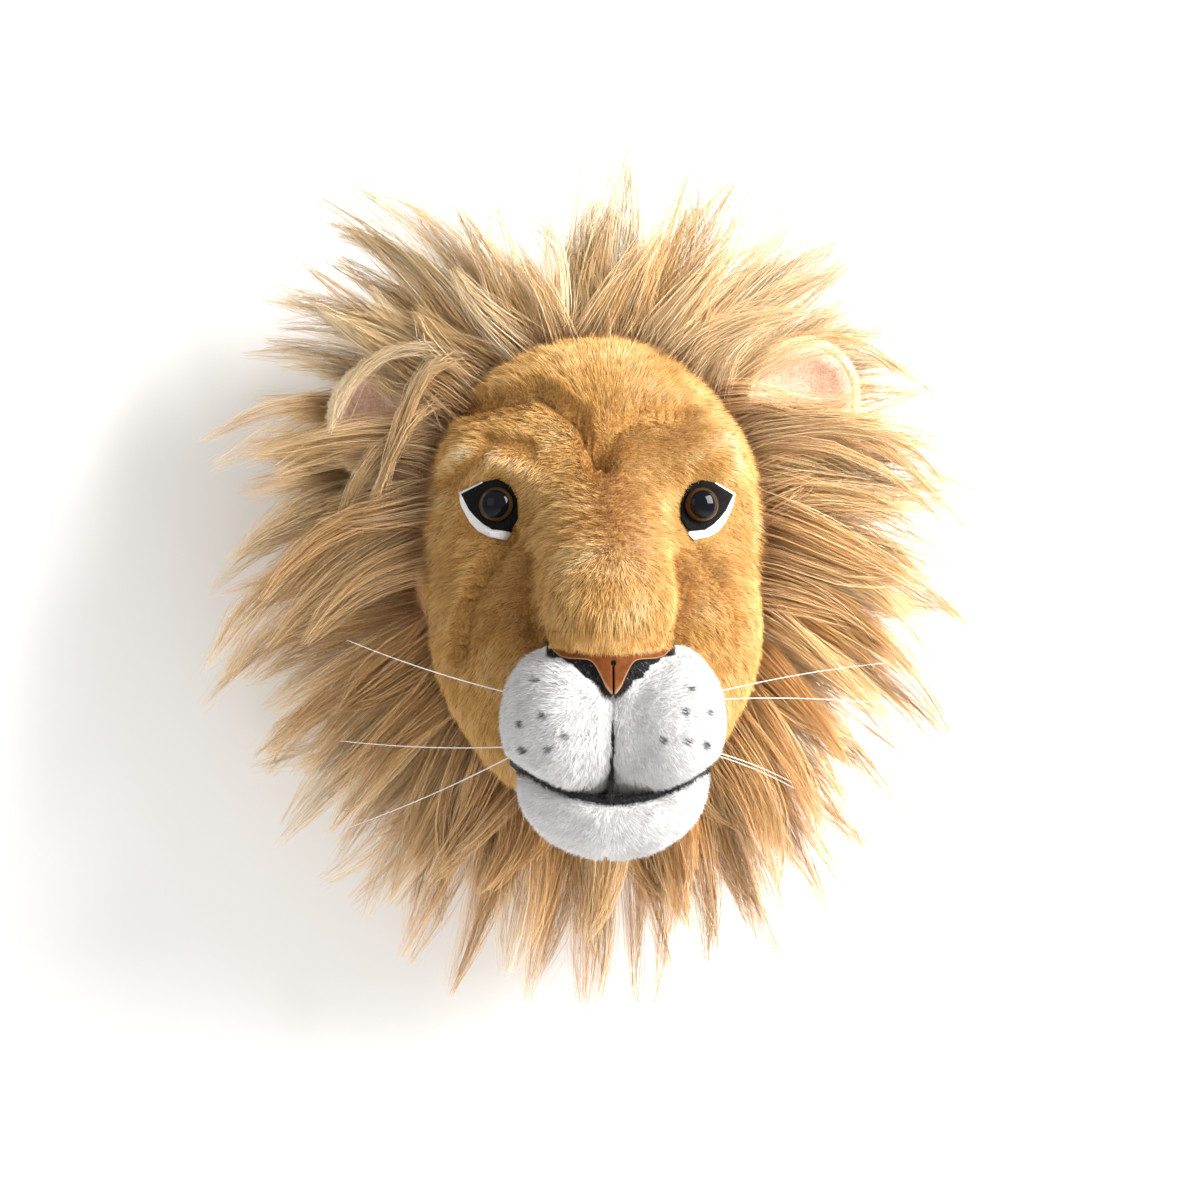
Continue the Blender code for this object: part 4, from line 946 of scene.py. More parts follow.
LEATHER_ROUNDING, CUT_EDGE_HIGH, CUT_EDGE_DEEP = 0.0004, 0.0003, 0.0010
NOSTRIL_HALF_WIDTH, TUFT_START, TUFT_SLOPE = 0.0260, 0.0228, 0.50
PAD_BEHIND, PAD_THICK, PAD_OVERLAP = 0.0003, 0.0018, 0.002
NOSTRIL_STRANDS, NOSTRIL_LENGTH = 2200, 0.0026
PALE_SHARE, PALE_TINT, BLACK_TINT = 0.06, 0.98, 0.45


def nose_under(across):
    """The lower edge of the leather: wings that dip into a stem."""
    return np.interp(np.abs(across), *LEATHER_EDGE)


def curved_plate(name, across, low, high, rows, forward, thickness, material):
    """A closed plate with its columns at the places across, from its lower edge to its upper one."""
    bm = bmesh.new()
    layers = []
    for back in (thickness, 0.0):
        grid = []
        for x in across:
            column = [low(x) + (high(x) - low(x)) * j / rows for j in range(rows + 1)]
            grid.append([bm.verts.new(Vector((x, back - forward(x, z), z))) for z in column])
        layers.append(grid)
    last = len(across) - 1
    for grid in layers:
        for i in range(last):
            for j in range(rows):
                bm.faces.new((grid[i][j], grid[i + 1][j], grid[i + 1][j + 1], grid[i][j + 1]))
    behind, before = layers
    rim = [(i, 0) for i in range(last)] + [(last, j) for j in range(rows)]
    rim += [(i, rows) for i in range(last, 0, -1)] + [(0, j) for j in range(rows, 0, -1)]
    for (a, b), (c, d) in zip(rim, rim[1:] + rim[:1]):
        bm.faces.new((behind[a][b], behind[c][d], before[c][d], before[a][b]))
    return finished_mesh(name, bm, material)


def leather_finish():
    leather = Finish("nose leather", Roughness=0.6, Specular_IOR_Level=0.12)
    mottled = leather.noise(260.0, 5.0)
    shade = leather.ramp(mottled, (0.3, LEATHER_DARK), (0.7, LEATHER_LIGHT))
    # The pale cut edge is partly the leather's own paler cut and partly a painted highlight along the edge.
    cut = leather.node("ShaderNodeAttribute", {"attribute_name": "cut_edge"}, None, "Fac")
    shade = leather.mix(cut, shade, (*LEATHER_CUT_AND_HIGHLIGHT, 1.0))
    grain = leather.node("ShaderNodeTexVoronoi", None, {"Scale": 1500.0}, "Distance")
    return leather.show(Base_Color=shade, Normal=leather.bump(grain, 0.35, 0.0003))


def slit_cutter():
    bm = bmesh.new()
    bmesh.ops.create_cone(
        bm, cap_ends=True, segments=16, radius1=SLIT_HOLE, radius2=SLIT_HOLE, depth=0.03,
        matrix=Matrix.Translation((0.0, -NOSE_FORWARD, SLIT_TOP)) @ Matrix.Rotation(math.pi / 2, 4, "X"),
    )
    hole = finished_mesh("slit_hole", bm, leather_look)
    bm = bmesh.new()
    bmesh.ops.create_cube(bm, size=1.0)
    for v in bm.verts:
        up = SLIT_END + (v.co.z + 0.5) * (SLIT_TOP - SLIT_END)
        v.co = Vector((v.co.x * 2 * SLIT_HALF, v.co.y * SLIT_DEEP - NOSE_FORWARD, up))
    return hole, finished_mesh("slit_line", bm, leather_look)


def applied(target):
    """The object with its modifiers made into its mesh."""
    mesh = bpy.data.meshes.new_from_object(target.evaluated_get(bpy.context.evaluated_depsgraph_get()))
    target.modifiers.clear()
    target.data = mesh
    return target


leather_look = leather_finish()
spacing = np.linspace(-1, 1, 49)
columns = np.sign(spacing) * np.abs(spacing) ** 1.3 * LEATHER_HALF_WIDTH
nose_plate = curved_plate(
    "nose_plate", columns, nose_under, lambda x: LEATHER_TOP, 8, nose_forward, LEATHER_THICKNESS,
    leather_look,
)
for cutting in slit_cutter():
    step = nose_plate.modifiers.new("slit", "BOOLEAN")
    step.object, step.solver = cutting, "EXACT"
    applied(nose_plate)
    bpy.data.objects.remove(cutting)
rounding = nose_plate.modifiers.new("edge", "BEVEL")
rounding.width, rounding.segments = LEATHER_ROUNDING, 2
rounding.limit_method, rounding.angle_limit = "ANGLE", 0.9
applied(nose_plate)
mesh = nose_plate.data
cut_edge = mesh.attributes.new("cut_edge", "FLOAT", "POINT")
for i, v in enumerate(mesh.vertices):
    x, y, z = v.co
    near_edge = z - nose_under(x) < CUT_EDGE_HIGH or y > CUT_EDGE_DEEP - nose_forward(x, z)
    cut_edge.data[i].value = 1.0 if near_edge else 0.0
mesh.shade_smooth()
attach(nose_plate, "root")
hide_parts("nose_leather")


def pad_top(x):
    """The upper edge of a nostril's pad, hidden by the leather except at its outer end."""
    return float(nose_under(max(abs(x), 0.006))) + PAD_OVERLAP + TUFT_SLOPE * max(abs(x) - TUFT_START, 0.0)


for word, side in (("left", -1), ("right", 1)):
    places = side * np.linspace(0.0, NOSTRIL_HALF_WIDTH, 19)
    pad = curved_plate(
        f"nostril_{word}_pad", places if side > 0 else places[::-1],
        lambda x: float(np.interp(abs(x), *NOSTRIL_EDGE)), pad_top, 6,
        lambda x, z: nose_forward(x, z) - LEATHER_THICKNESS - PAD_BEHIND, PAD_THICK, black_backing,
    )
    roots, outward = scattered(pad, 6 * NOSTRIL_STRANDS, 51 + side)
    beyond = np.abs(roots[:, 0]) > LEATHER_HALF_WIDTH - 0.001
    seen = (outward[:, 1] > 0.0) & ((roots[:, 2] < nose_under(roots[:, 0]) - 0.0002) | beyond)
    roots, outward = (row[seen][:NOSTRIL_STRANDS] for row in (roots, outward))
    level = np.ones(len(roots))
    draw = np.random.default_rng(53 + side)
    comb = np.stack((0.4 * side + 0.4 * draw.normal(size=len(roots)), 0 * level, -0.8 * level), axis=1)
    tint = np.where(draw.uniform(size=len(roots)) < PALE_SHARE, PALE_TINT, BLACK_TINT)
    pile = pile_object(
        f"nostril_{word}_pile", roots, outward, comb, 0.8, NOSTRIL_LENGTH, BLACK_WIDTH, tint, 55 + side,
        black_strands,
    )
    for piece in (pad, pile):
        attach(piece, "root")
        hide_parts(f"nostril_{word}")


# The ears: round cups of cream plush, lined with short pink velour, sewn upright to the head
# and half buried in the mane.
EAR_CENTRE = {"left": (-0.089, 0.093, 0.066), "right": (0.093, 0.093, 0.077)}
EAR_RADII = (0.027, 0.030)
EAR_TILT, EAR_TURN = 0.70, 0.22
EAR_PROFILE = (
    (0.0, -0.0100), (0.25, -0.0097), (0.50, -0.0088), (0.70, -0.0072), (0.86, -0.0048), (0.96, -0.0018),
    (1.0, 0.0012), (0.985, 0.0040), (0.93, 0.0056), (0.86, 0.0052), (0.80, 0.0036), (0.66, 0.0008),
    (0.45, -0.0014), (0.22, -0.0026), (0.0, -0.0030),
)
LINING_PROFILE = (
    (0.0, -0.0034), (0.22, -0.0030), (0.45, -0.0018), (0.66, 0.0004), (0.82, 0.0034), (0.845, 0.0044),
    (0.82, 0.0050), (0.66, 0.0022), (0.45, -0.0002), (0.22, -0.0015), (0.0, -0.0020),
)
EAR_PINK, EAR_PINK_LIGHT = (0.78, 0.50, 0.37), (0.92, 0.70, 0.57)
EAR_CREAM, EAR_CREAM_LIGHT = (0.80, 0.62, 0.36), (0.96, 0.84, 0.60)
# Of the cup's pile and the lining's: strands, their length and width, and their tint.
EAR_PILE, LINING_PILE = (7000, 0.0030, 0.00034, 0.7), (5000, 0.0022, 0.00032, 0.6)
EAR_RIM = 0.0225


def revolved(name, profile, centre, turn, segments, material):
    """A closed round cup: a profile of (share of the radius, how far forward) turned about its middle."""
    bm = bmesh.new()
    rings = []
    for share, ahead in profile:
        count = segments if share else 1
        ring = []
        for k in range(count):
            angle = 2 * math.pi * k / count
            across, up = share * EAR_RADII[0] * math.cos(angle), share * EAR_RADII[1] * math.sin(angle)
            own = Vector((across, -ahead, up))
            ring.append(bm.verts.new(Vector(swapped(centre)) + turn @ own))
        rings.append(ring)
    for low, high in zip(rings[:-1], rings[1:]):
        for k in range(segments):
            ends = (k, k + 1)
            corners = [low[n % len(low)] for n in ends] + [high[n % len(high)] for n in reversed(ends)]
            bm.faces.new(list(dict.fromkeys(corners)))
    return finished_mesh(name, bm, material)


pink_backing = backing_finish("pink velour cloth", EAR_PINK, EAR_PINK_LIGHT)
pink_strands = strand_finish("pink velour", ((0.0, EAR_PINK), (1.0, EAR_PINK_LIGHT)), EAR_PINK, 0.3, 0.7)
cream_backing = backing_finish("cream cloth", EAR_CREAM, EAR_CREAM_LIGHT)
cream_strands = strand_finish("cream pile", ((0.0, EAR_CREAM), (1.0, EAR_CREAM_LIGHT)), EAR_CREAM, 0.4, 0.6)
for word, side in (("left", -1), ("right", 1)):
    turn = Matrix.Rotation(side * EAR_TURN, 3, "Z") @ Matrix.Rotation(side * EAR_TILT, 3, "Y")
    cup = revolved(f"ear_{word}_cup", EAR_PROFILE, EAR_CENTRE[word], turn, 40, cream_backing)
    lining = revolved(f"ear_{word}_lining", LINING_PROFILE, EAR_CENTRE[word], turn, 36, pink_backing)
    pieces = [(cup, f"ear_{word}", "ear_plush"), (lining, f"ear_inner_{word}", "pink_plush")]
    middle = np.array(EAR_CENTRE[word])
    for (skin, node, slot), (count, length, wide, tone), strands in zip(
        tuple(pieces), (EAR_PILE, LINING_PILE), (cream_strands, pink_strands),
    ):
        roots, outward = scattered(skin, int(2.5 * count), 61)
        away = np.linalg.norm(roots - middle, axis=1)
        seen = head_distance(roots) > 0.001
        seen &= ((roots[:, 1] < middle[1] + 0.002) | (away > EAR_RIM)) if skin is cup else outward[:, 1] > 0.1
        roots, outward = (row[seen][:count] for row in (roots, outward))
        comb = unit(roots - middle)
        comb = comb + (0.0, -0.2, 0.25) if skin is cup else 0.6 * comb + (0.0, 0.0, 0.3)
        tint = tone + 0.05 * ripples(roots, 0.01, 62)[:, 0]
        name = f"{skin.name}_pile"
        pile = pile_object(name, roots, outward, comb, 0.7, length, wide, tint, 63 + side, strands)
        pieces.append((pile, node, slot))
    for piece, node, slot in pieces:
        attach(piece, "root")
        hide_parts(node)


# The mane: long silky plush in rows of locks, rooted all round the head from the edge of the
# face back to the wall. Each lock is made of tufts, and each tuft of strands that draw together
# towards its tip.
TOP_LOCKS = (
    (-31, 0.198), (-21, 0.212), (-12, 0.185), (0, 0.200), (6, 0.206), (14, 0.190), (21, 0.197),
    (31, 0.211),
)
RIGHT_LOCKS = (
    (39, 0.198), (45, 0.196), (52, 0.189), (61, 0.185), (70, 0.176), (79, 0.185), (89, 0.172),
    (98, 0.175), (107, 0.170), (117, 0.183), (127, 0.191), (136, 0.189),
)
BOTTOM_LOCKS = (
    (145, 0.188), (153, 0.205), (163, 0.188), (171, 0.198), (180, 0.198), (188, 0.195), (198, 0.198),
    (206, 0.192),
)
LEFT_LOCKS = (
    (213, 0.185), (221, 0.184), (229, 0.186), (240, 0.176), (251, 0.184), (262, 0.168), (273, 0.160),
    (282, 0.158), (290, 0.163), (298, 0.170), (306, 0.180), (313, 0.193), (321, 0.186),
)
# Rows: name, locks or (count, shortest, longest, seed), root and tip forward, bulge, tufts, strands,
# and how much more than the hair of the outline the row hangs.
MANE_ROWS = (
    ("front", (34, 0.128, 0.165, 3), 0.109, 0.100, 0.0060, 3, 104, 1.7),
    ("second", (34, 0.148, 0.188, 5), 0.101, 0.083, 0.0070, 3, 104, 1.35),
    ("outer_left", LEFT_LOCKS + TOP_LOCKS[:3] + BOTTOM_LOCKS[4:], 0.092, 0.064, 0.0090, 5, 100, 1.0),
    ("outer_right", RIGHT_LOCKS + TOP_LOCKS[3:] + BOTTOM_LOCKS[:4], 0.092, 0.064, 0.0090, 5, 100, 1.0),
    ("fourth", (33, 0.152, 0.186, 7), 0.060, 0.040, 0.0080, 4, 72, 1.0),
    ("rear", (31, 0.140, 0.172, 11), 0.028, 0.018, 0.0060, 3, 76, 1.0),
)
# Locks over the ears: each one's points (across, forward, up) from root to tip, and its tone.
EAR_LOCKS = (
    (((-0.052, 0.110, 0.078), (-0.069, 0.118, 0.086), (-0.080, 0.121, 0.074), (-0.088, 0.120, 0.056),
      (-0.096, 0.114, 0.034), (-0.104, 0.106, 0.010)), 0.62),
    (((-0.046, 0.110, 0.084), (-0.062, 0.119, 0.094), (-0.075, 0.122, 0.086), (-0.084, 0.121, 0.068),
      (-0.090, 0.116, 0.046), (-0.101, 0.108, 0.022)), 0.72),
    (((0.052, 0.108, 0.074), (0.073, 0.114, 0.092), (0.099, 0.116, 0.106), (0.121, 0.110, 0.106),
      (0.141, 0.100, 0.097), (0.156, 0.090, 0.085)), 0.62),
    (((-0.048, 0.108, 0.080), (-0.071, 0.116, 0.100), (-0.088, 0.118, 0.100), (-0.101, 0.116, 0.092),
      (-0.111, 0.112, 0.078), (-0.112, 0.106, 0.064)), 0.85),
    (((-0.063, 0.110, 0.067), (-0.085, 0.117, 0.064), (-0.103, 0.116, 0.052), (-0.114, 0.110, 0.032),
      (-0.121, 0.102, 0.006), (-0.124, 0.096, -0.011)), 0.72),
    (((0.066, 0.110, 0.070), (0.104, 0.116, 0.072), (0.130, 0.110, 0.066), (0.148, 0.100, 0.054),
      (0.163, 0.088, 0.037)), 0.66),
    (((0.068, 0.110, 0.060), (0.099, 0.115, 0.062), (0.126, 0.108, 0.052), (0.148, 0.098, 0.034),
      (0.161, 0.088, 0.017)), 0.58),
)
EAR_LOCK_TUFTS, EAR_LOCK_STRANDS, EAR_LOCK_SCATTER, EAR_LOCK_BREADTH = 3, 46, 0.0050, 0.34
# How far the hair swings down, on the left and on the right, with how much of it at ear height.
DROOPS = ((math.radians(30.0), 0.78), (math.radians(16.0), 1.0))
LEAST_DROOP = 0.35
FALL_START, FALL_LENGTH, FALL_POWER = 0.065, 0.135, 1.05
GUIDE_POINTS = 9
STRAND_WIDTH, STRAND_POINTS = 0.00038, 6
TUFT_SPREAD, STRAND_FRIZZ = 0.0104, 0.0150
TUFT_REACH, TUFT_PLACES, TUFT_TIPS = (0.78, 1.02), 1.25, 0.24
ROOT_SCATTER, TIP_SCATTER, TUFT_BEND, ROOT_SUNK, OFF_WALL = 0.0035, 0.007, 0.035, 0.003, 0.004
EAR_WINDOWS = (((-0.100, 0.076), (0.010, 0.012)), ((0.0965, 0.0885), (0.025, 0.017)))
# The cloth under the strands: where it lies, how it bulges, its edge, and how deep it is sunk in.
CLOTH_LEVELS, CLOTH_BULGE, CLOTH_RIM, CLOTH_SUNK = (0.0098, 0.107), 0.007, 0.0004, 0.0030
# MANE_SHADE is a painted shade, for the strands' roots and the cloth under them.
MANE_SHADE, MANE_BROWN = (0.50, 0.29, 0.15), (0.75, 0.46, 0.23)
MANE_OCHRE, MANE_TAN = (0.98, 0.65, 0.31), (0.99, 0.75, 0.44)
MANE_LIGHT, MANE_CREAM = (0.99, 0.83, 0.58), (0.99, 0.91, 0.74)


def head_reach(turns, forward, pace=0.9):
    """From the middle line out to the head's skin, at each turn and distance from the wall."""
    ways = np.stack((np.sin(turns), 0 * turns, np.cos(turns)), axis=1)
    start = np.stack((0 * turns, forward + 0 * turns, 0 * turns), axis=1)
    reach = np.full(len(turns), 0.20)
    for _ in range(60):
        reach -= pace * head_distance(start + ways * reach[:, None])
    return reach


def strand_group():
    """Strands: each guide line many times over, spread about it at its root and drawn in to its tip."""
    inputs = {"Strands": "Int", "Spread": "Float", "Frizz": "Float", "Width": "Float", "Seed": "Int"}
    hair = Growth("strands", {**inputs, "Material": "Material"})

    def on_curve(kind, settings=None, **inputs):
        inputs = {name.replace("_", " "): value for name, value in inputs.items()}
        return hair.node("GeometryNode" + kind, settings, inputs)

    def scaled(vector, factor):
        return hair.node("ShaderNodeVectorMath", {"operation": "SCALE"}, {0: vector, "Scale": factor})

    def added(first, second):
        return hair.node("ShaderNodeVectorMath", {"operation": "ADD"}, {0: first, 1: second})

    lines = on_curve("MeshToCurve", Mesh=hair.given("Geometry"))
    copies = {"domain": "SPLINE"}
    lines = on_curve("DuplicateElements", copies, Geometry=lines, Amount=hair.given("Strands"))
    index = hair.node("GeometryNodeInputIndex")
    for k, (label, kind, low, high) in enumerate((
        ("draw", "FLOAT_VECTOR", (-1.0,) * 3, (1.0,) * 3), ("roll", "FLOAT", -0.45, 0.45),
        ("cut", "FLOAT", 0.0, 1.0), ("tone", "FLOAT", -1.0, 1.0),
    )):
        vector = kind == "FLOAT_VECTOR"
        seed = hair.given("Seed") + 13.0 * k
        inputs = {0 if vector else 2: low, 1 if vector else 3: high, 7: index, 8: seed}
        random = hair.node("FunctionNodeRandomValue", {"data_type": kind}, inputs, 0 if vector else 1)
        lines = hair.store(lines, label, random, kind, "CURVE")
    end = 1.0 - hair.attribute("cut") ** 1.5 * 0.42
    lines = on_curve("TrimCurve", {"mode": "FACTOR"}, Curve=lines, End=end)
    lines = on_curve("ResampleCurve", Curve=lines, Count=STRAND_POINTS)
    lines = hair.store(lines, "along", hair.node("GeometryNodeSplineParameter", output="Factor"))
    along, tone = hair.attribute("along"), hair.attribute("tone")
    drawn, side, out = (hair.attribute(name, "FLOAT_VECTOR") for name in ("draw", "side", "out"))
    spread = ((1.0 - along) ** 0.6 * 0.80 + 0.20) * hair.given("Spread") * hair.attribute("broad")
    centred = hair.node("ShaderNodeVectorMath", {"operation": "SNAP"}, {0: drawn, 1: (0.8,) * 3})
    towards = added(added(centred, (0.4,) * 3), scaled(drawn, -1.0))
    gathered = added(drawn, scaled(towards, along ** 3.0 * 0.75))
    across = scaled(side, hair.part(gathered, "X") * spread)
    deep = scaled(out, hair.part(gathered, "Y") * spread * 0.6)
    where = added(scaled(drawn, 40.0), hair.vector(along * 1.6, 0.0, 0.0))
    wave = hair.node("ShaderNodeTexNoise", None, {"Vector": where, "Scale": 1.0, "Detail": 1.0}, "Color")
    stray = tone ** 4.0 * 1.1 + 0.35
    wave = scaled(added(wave, (-0.5,) * 3), along ** 1.3 * stray * hair.given("Frizz"))
    lines = on_curve("SetPosition", Geometry=lines, Offset=added(added(across, deep), wave))
    lines = on_curve("SetCurveRadius", Curve=lines, Radius=1.0 - along ** 2.5 * 0.85)
    facing = added(out, scaled(side, hair.attribute("roll")))
    lines = on_curve("SetCurveNormal", {"mode": "FREE"}, Curve=lines, Normal=facing)
    lines = hair.store(lines, "tint", hair.attribute("tint") + tone * 0.07)
    profile = on_curve("CurvePrimitiveLine", Start=(-0.5, 0.0, 0.0), End=(0.5, 0.0, 0.0))
    width = hair.given("Width")
    hair.end(on_curve("CurveToMesh", Curve=lines, Profile_Curve=profile, Scale=width))
    return hair


def guide_object(name, paths, broad, tint):
    """Guide lines as (across, forward, up), each with its way sideways and its way outwards."""
    count, points = paths.shape[:2]
    ahead = np.gradient(paths, axis=1)
    ahead /= np.linalg.norm(ahead, axis=2)[..., None]
    out = np.array((0.0, 1.0, 0.0)) - ahead * ahead[..., 1:2]
    out /= np.linalg.norm(out, axis=2)[..., None]
    side = np.cross(ahead, out)
    edges = [(i * points + j, i * points + j + 1) for i in range(count) for j in range(points - 1)]
    places, side, out = (swapped(values.reshape(-1, 3)) for values in (paths, side, out))
    broad, tint = (np.repeat(values, points) for values in (broad, tint))
    return point_object(name, places, edges, side=side, out=out, broad=broad, tint=tint)


def past_ears(paths, in_front):
    """Moves guide lines off the parts of the ears that show: aside in front of them, or behind them."""
    for (centre, radii), ear in zip(EAR_WINDOWS, EAR_CENTRE.values()):
        offset = (paths[..., (0, 2)] - np.array(centre)) / np.array(radii)
        near = np.linalg.norm(offset, axis=2)
        inside_ear = near < 1.0
        if in_front:
            moved = np.array(centre) + offset / np.maximum(near, 0.05)[..., None] * np.array(radii)
            paths[..., 0] = np.where(inside_ear, moved[..., 0], paths[..., 0])
            paths[..., 2] = np.where(inside_ear, moved[..., 1], paths[..., 2])
        room = np.linalg.norm((paths[..., (0, 2)] - np.array((ear[0], ear[2]))) / 0.034, axis=2)
        level = ear[1] + 0.012 if in_front else ear[1] - 0.016
        pull = np.clip(1.35 - room, 0.0, 0.4) / 0.4
        wanted = np.maximum(paths[..., 1], level) if in_front else np.minimum(paths[..., 1], level)
        paths[..., 1] += pull * (wanted - paths[..., 1])
    return paths


def fallen(distance):
    """How much of its swing the hair has made at a distance from the middle of the face."""
    return (np.maximum(distance - FALL_START, 0.0) / FALL_LENGTH) ** FALL_POWER


def swing(turns):
    """How far round the hair that is rooted at each turn swings towards the bottom."""
    left, right = (
        size * np.sin(turns) * np.maximum(np.cos(turns) + at_ears, LEAST_DROOP) for size, at_ears in DROOPS
    )
    return np.where(np.sin(turns) < 0, left, right)


def lock_guides(angles, reaches, root_forward, tip_forward, bulge, tufts, hang, seed):
    """One guide line for each tuft of each lock, with how broad it is and its tone."""
    draw = np.random.default_rng(seed)
    order = np.argsort(angles)
    angles, reaches = angles[order], reaches[order]
    gaps = np.minimum((np.roll(angles, -1) - angles) % (2 * math.pi), 0.30)
    tip = np.repeat(angles, tufts)
    gap = np.repeat(gaps, tufts)
    count = len(tip)
    number = np.tile(np.arange(tufts), len(angles))
    offset = (number / tufts - 0.5 + draw.uniform(-0.1, 0.1, count)) * gap * TUFT_PLACES
    tip_offset = draw.normal(size=count) * gap * TUFT_TIPS * (number > 0)
    reach = np.repeat(reaches, tufts) * np.where(number == 0, 1.0, draw.uniform(*TUFT_REACH, count))
    root_turn = tip
    for _ in range(8):
        root_turn = tip - hang * swing(root_turn) * fallen(reach)
    lock_tone = np.repeat(draw.normal(size=len(angles)), tufts)
    share = np.linspace(0.0, 1.0, GUIDE_POINTS)[None, :]
    root_far = root_forward + draw.normal(size=count) * ROOT_SCATTER
    tip_far = tip_forward + draw.normal(size=count) * TIP_SCATTER
    start = head_reach(root_turn + offset, root_far) - ROOT_SUNK
    distance = start[:, None] + (reach - start)[:, None] * share
    bend = draw.normal(size=count)[:, None] * TUFT_BEND * np.sin(math.pi * share)
    turn = root_turn[:, None] + hang * swing(root_turn)[:, None] * fallen(distance) + bend
    turn = turn + offset[:, None] + (tip_offset - offset)[:, None] * share ** 0.8
    far = root_far[:, None] + (tip_far - root_far)[:, None] * share ** 1.3
    far = far + bulge * np.sin(math.pi * share ** 0.7) * draw.uniform(0.6, 1.4, count)[:, None]
    paths = np.stack((distance * np.sin(turn), np.maximum(far, OFF_WALL), distance * np.cos(turn)), axis=2)
    # The tone is lighter towards the top left of the mane and darker towards the bottom, a painted highlight
    # from above; each lock and tuft also differs at random.
    tone = 0.60 + 0.13 * np.cos(tip + 0.15) + 0.08 * lock_tone + 0.06 * draw.normal(size=count)
    return paths, draw.uniform(0.7, 1.25, count), tone


def mane_finish():
    mane = Finish("mane strands", Roughness=0.42, Specular_IOR_Level=0.45)
    own, along = mane.on_strand()
    shade = mane.ramp(
        own, (0.0, MANE_BROWN), (0.3, MANE_OCHRE), (0.55, MANE_TAN), (0.8, MANE_LIGHT), (1.0, MANE_CREAM),
    )
    # Lighter towards the tips: painted light shining through them.
    shade = mane.mix(along ** 2.0 * 0.5, shade, (*MANE_LIGHT, 1.0))
    # Darker towards the roots: painted shade by the face.
    shade = mane.mix((1.0 - along) ** 5.0 * 0.8, shade, (*MANE_SHADE, 1.0))
    return mane.show(Base_Color=shade)


def mane_row(name, paths, broad, tint, count, seed):
    """The strands of one row, grown on its guide lines."""
    return strands.grow(
        name, guide_object(name, paths, broad, tint), Strands=count, Spread=TUFT_SPREAD, Frizz=STRAND_FRIZZ,
        Width=STRAND_WIDTH, Seed=seed, Material=mane_strands,
    )


strands = strand_group()
mane_strands = mane_finish()
mane_pieces = []
for number, (name, locks, root_forward, tip_forward, bulge, tufts, count, hang) in enumerate(MANE_ROWS):
    if isinstance(locks[0], tuple):
        angles, reaches = np.radians([a for a, _ in locks]), np.array([r for _, r in locks])
    else:
        locks_round, shortest, longest, seed = locks
        step = 2 * math.pi / locks_round
        astray = np.random.default_rng(seed).uniform(-0.33, 0.33, locks_round) * step
        angles = np.arange(locks_round) * step + astray
        reaches = np.random.default_rng(seed + 1).uniform(shortest, longest, locks_round)
    turns = angles % (2 * math.pi)
    paths, broad, tint = lock_guides(
        turns, reaches, root_forward, tip_forward, bulge, tufts, hang, 70 + number,
    )
    paths = past_ears(paths, name == "front")
    mane_pieces.append(mane_row(f"mane_{name}", paths, broad, tint, count, 80 + number))

paths, tones = [], []
draw = np.random.default_rng(91)
share = np.linspace(0.0, 1.0, GUIDE_POINTS)[:, None]
for points, tone in EAR_LOCKS:
    place = np.linspace(0.0, len(points) - 1.0, GUIDE_POINTS)
    columns = [np.interp(place, np.arange(len(points)), column) for column in zip(*points)]
    line = np.array(columns).T
    line[1:-1] = (line[:-2] + 2 * line[1:-1] + line[2:]) / 4
    for _ in range(EAR_LOCK_TUFTS):
        shift = EAR_LOCK_SCATTER * draw.normal(size=3) * (1.0, 0.4, 1.0)
        bend = EAR_LOCK_SCATTER * draw.normal(size=3)
        paths.append(line + shift * (1.0 - 0.5 * share) + bend * share ** 2)
        tones.append(tone + 0.05 * draw.normal())
broad = np.full(len(paths), EAR_LOCK_BREADTH)
ear_locks = mane_row("mane_ear_locks", np.array(paths), broad, np.array(tones), EAR_LOCK_STRANDS, 92)
mane_pieces.append(ear_locks)

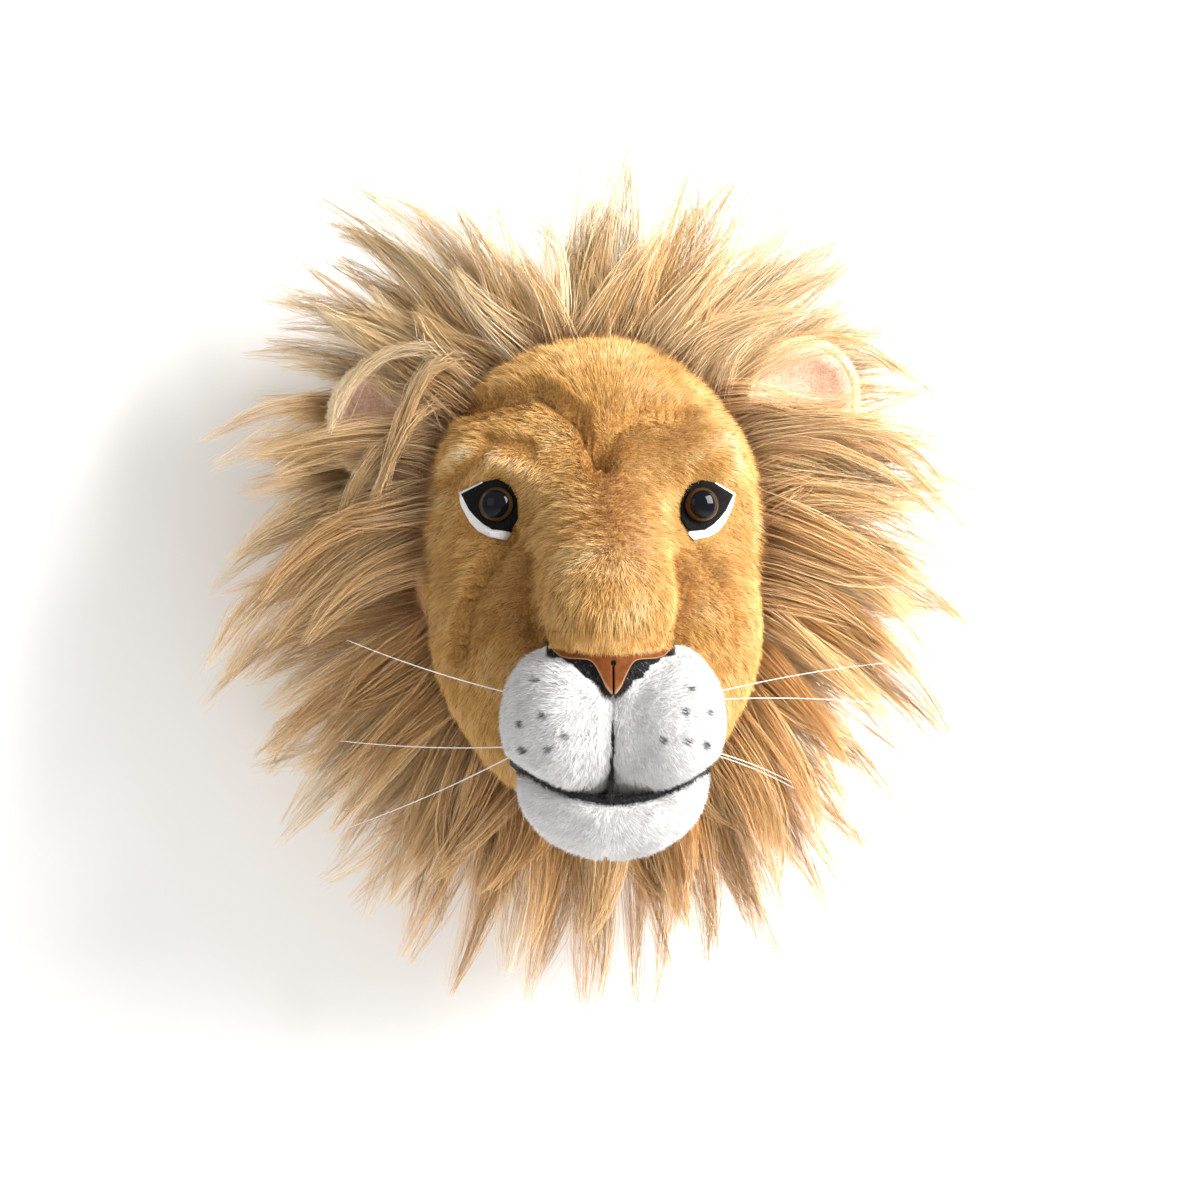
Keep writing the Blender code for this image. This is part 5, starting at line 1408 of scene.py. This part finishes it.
# The mane cloth's dark colours are painted shade under the strands.
mane_backing = backing_finish("mane cloth", MANE_SHADE, MANE_BROWN)
bm = bmesh.new()
turns = np.linspace(0.0, 2 * math.pi, 97)[:-1]
levels = np.linspace(*CLOTH_LEVELS, 11)
skin_reach = np.array([head_reach(turns, level) for level in levels])
thick = CLOTH_BULGE * np.sin(math.pi * np.linspace(0.06, 0.94, 11)) + CLOTH_RIM
outer = skin_reach + thick[:, None]
inner = skin_reach - CLOTH_SUNK
rows = list(zip(levels, outer)) + list(zip(levels[::-1], inner[::-1]))
rings = [
    [bm.verts.new((r * math.sin(t), -level, r * math.cos(t))) for t, r in zip(turns, reach)]
    for level, reach in rows
]
for ring, after in zip(rings, rings[1:] + rings[:1]):
    for k in range(len(turns)):
        following = (k + 1) % len(turns)
        bm.faces.new((ring[k], ring[following], after[following], after[k]))
mane_pieces.append(finished_mesh("mane_cloth", bm, mane_backing))
for piece in mane_pieces:
    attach(piece, "root")
    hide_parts("mane")


# The whiskers: stiff white nylon hairs, knotted inside the muzzle and tapered to their tips.
WHISKERS = {
    "left_1": ((-0.040, 0.196, -0.050), (-0.108, 0.185, -0.028)),
    "left_2": ((-0.038, 0.196, -0.072), (-0.111, 0.182, -0.070)),
    "left_3": ((-0.038, 0.196, -0.075), (-0.109, 0.180, -0.107)),
    "right_1": ((0.040, 0.196, -0.051), (0.117, 0.184, -0.038)),
    "right_2": ((0.040, 0.196, -0.053), (0.118, 0.182, -0.055)),
    "right_3": ((0.038, 0.194, -0.074), (0.083, 0.154, -0.092)),
    "right_4": ((0.038, 0.196, -0.073), (0.081, 0.160, -0.089)),
}
WHISKER_RADII, WHISKER_SAG, WHISKER_POINTS = (0.00030, 0.00012), 0.0015, 25
NYLON_DARK, NYLON_LIGHT = (0.66, 0.62, 0.56), (0.80, 0.78, 0.73)


def nylon_finish():
    nylon = Finish("white nylon", Roughness=0.35, Coat_Weight=0.2)
    shade = nylon.ramp(nylon.noise(500.0), (0.3, NYLON_DARK), (0.7, NYLON_LIGHT))
    return nylon.show(Base_Color=shade)


white_nylon = nylon_finish()
for name, (root, tip) in WHISKERS.items():
    share = np.linspace(0.0, 1.0, WHISKER_POINTS)[:, None]
    line = np.array(root) + share * (np.array(tip) - np.array(root))
    sag = 4 * WHISKER_SAG * share[:, 0] * (1 - share[:, 0])
    line[:, 2] += -sag if "left" in name else sag
    radii = WHISKER_RADII[0] + (WHISKER_RADII[1] - WHISKER_RADII[0]) * share[:, 0]
    bm = bmesh.new()
    tube_into(bm, line, [(r, r) for r in radii])
    hair = finished_mesh(f"whisker_{name}_hair", bm, white_nylon)
    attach(hair, "root")
    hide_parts(f"whisker_{name}")
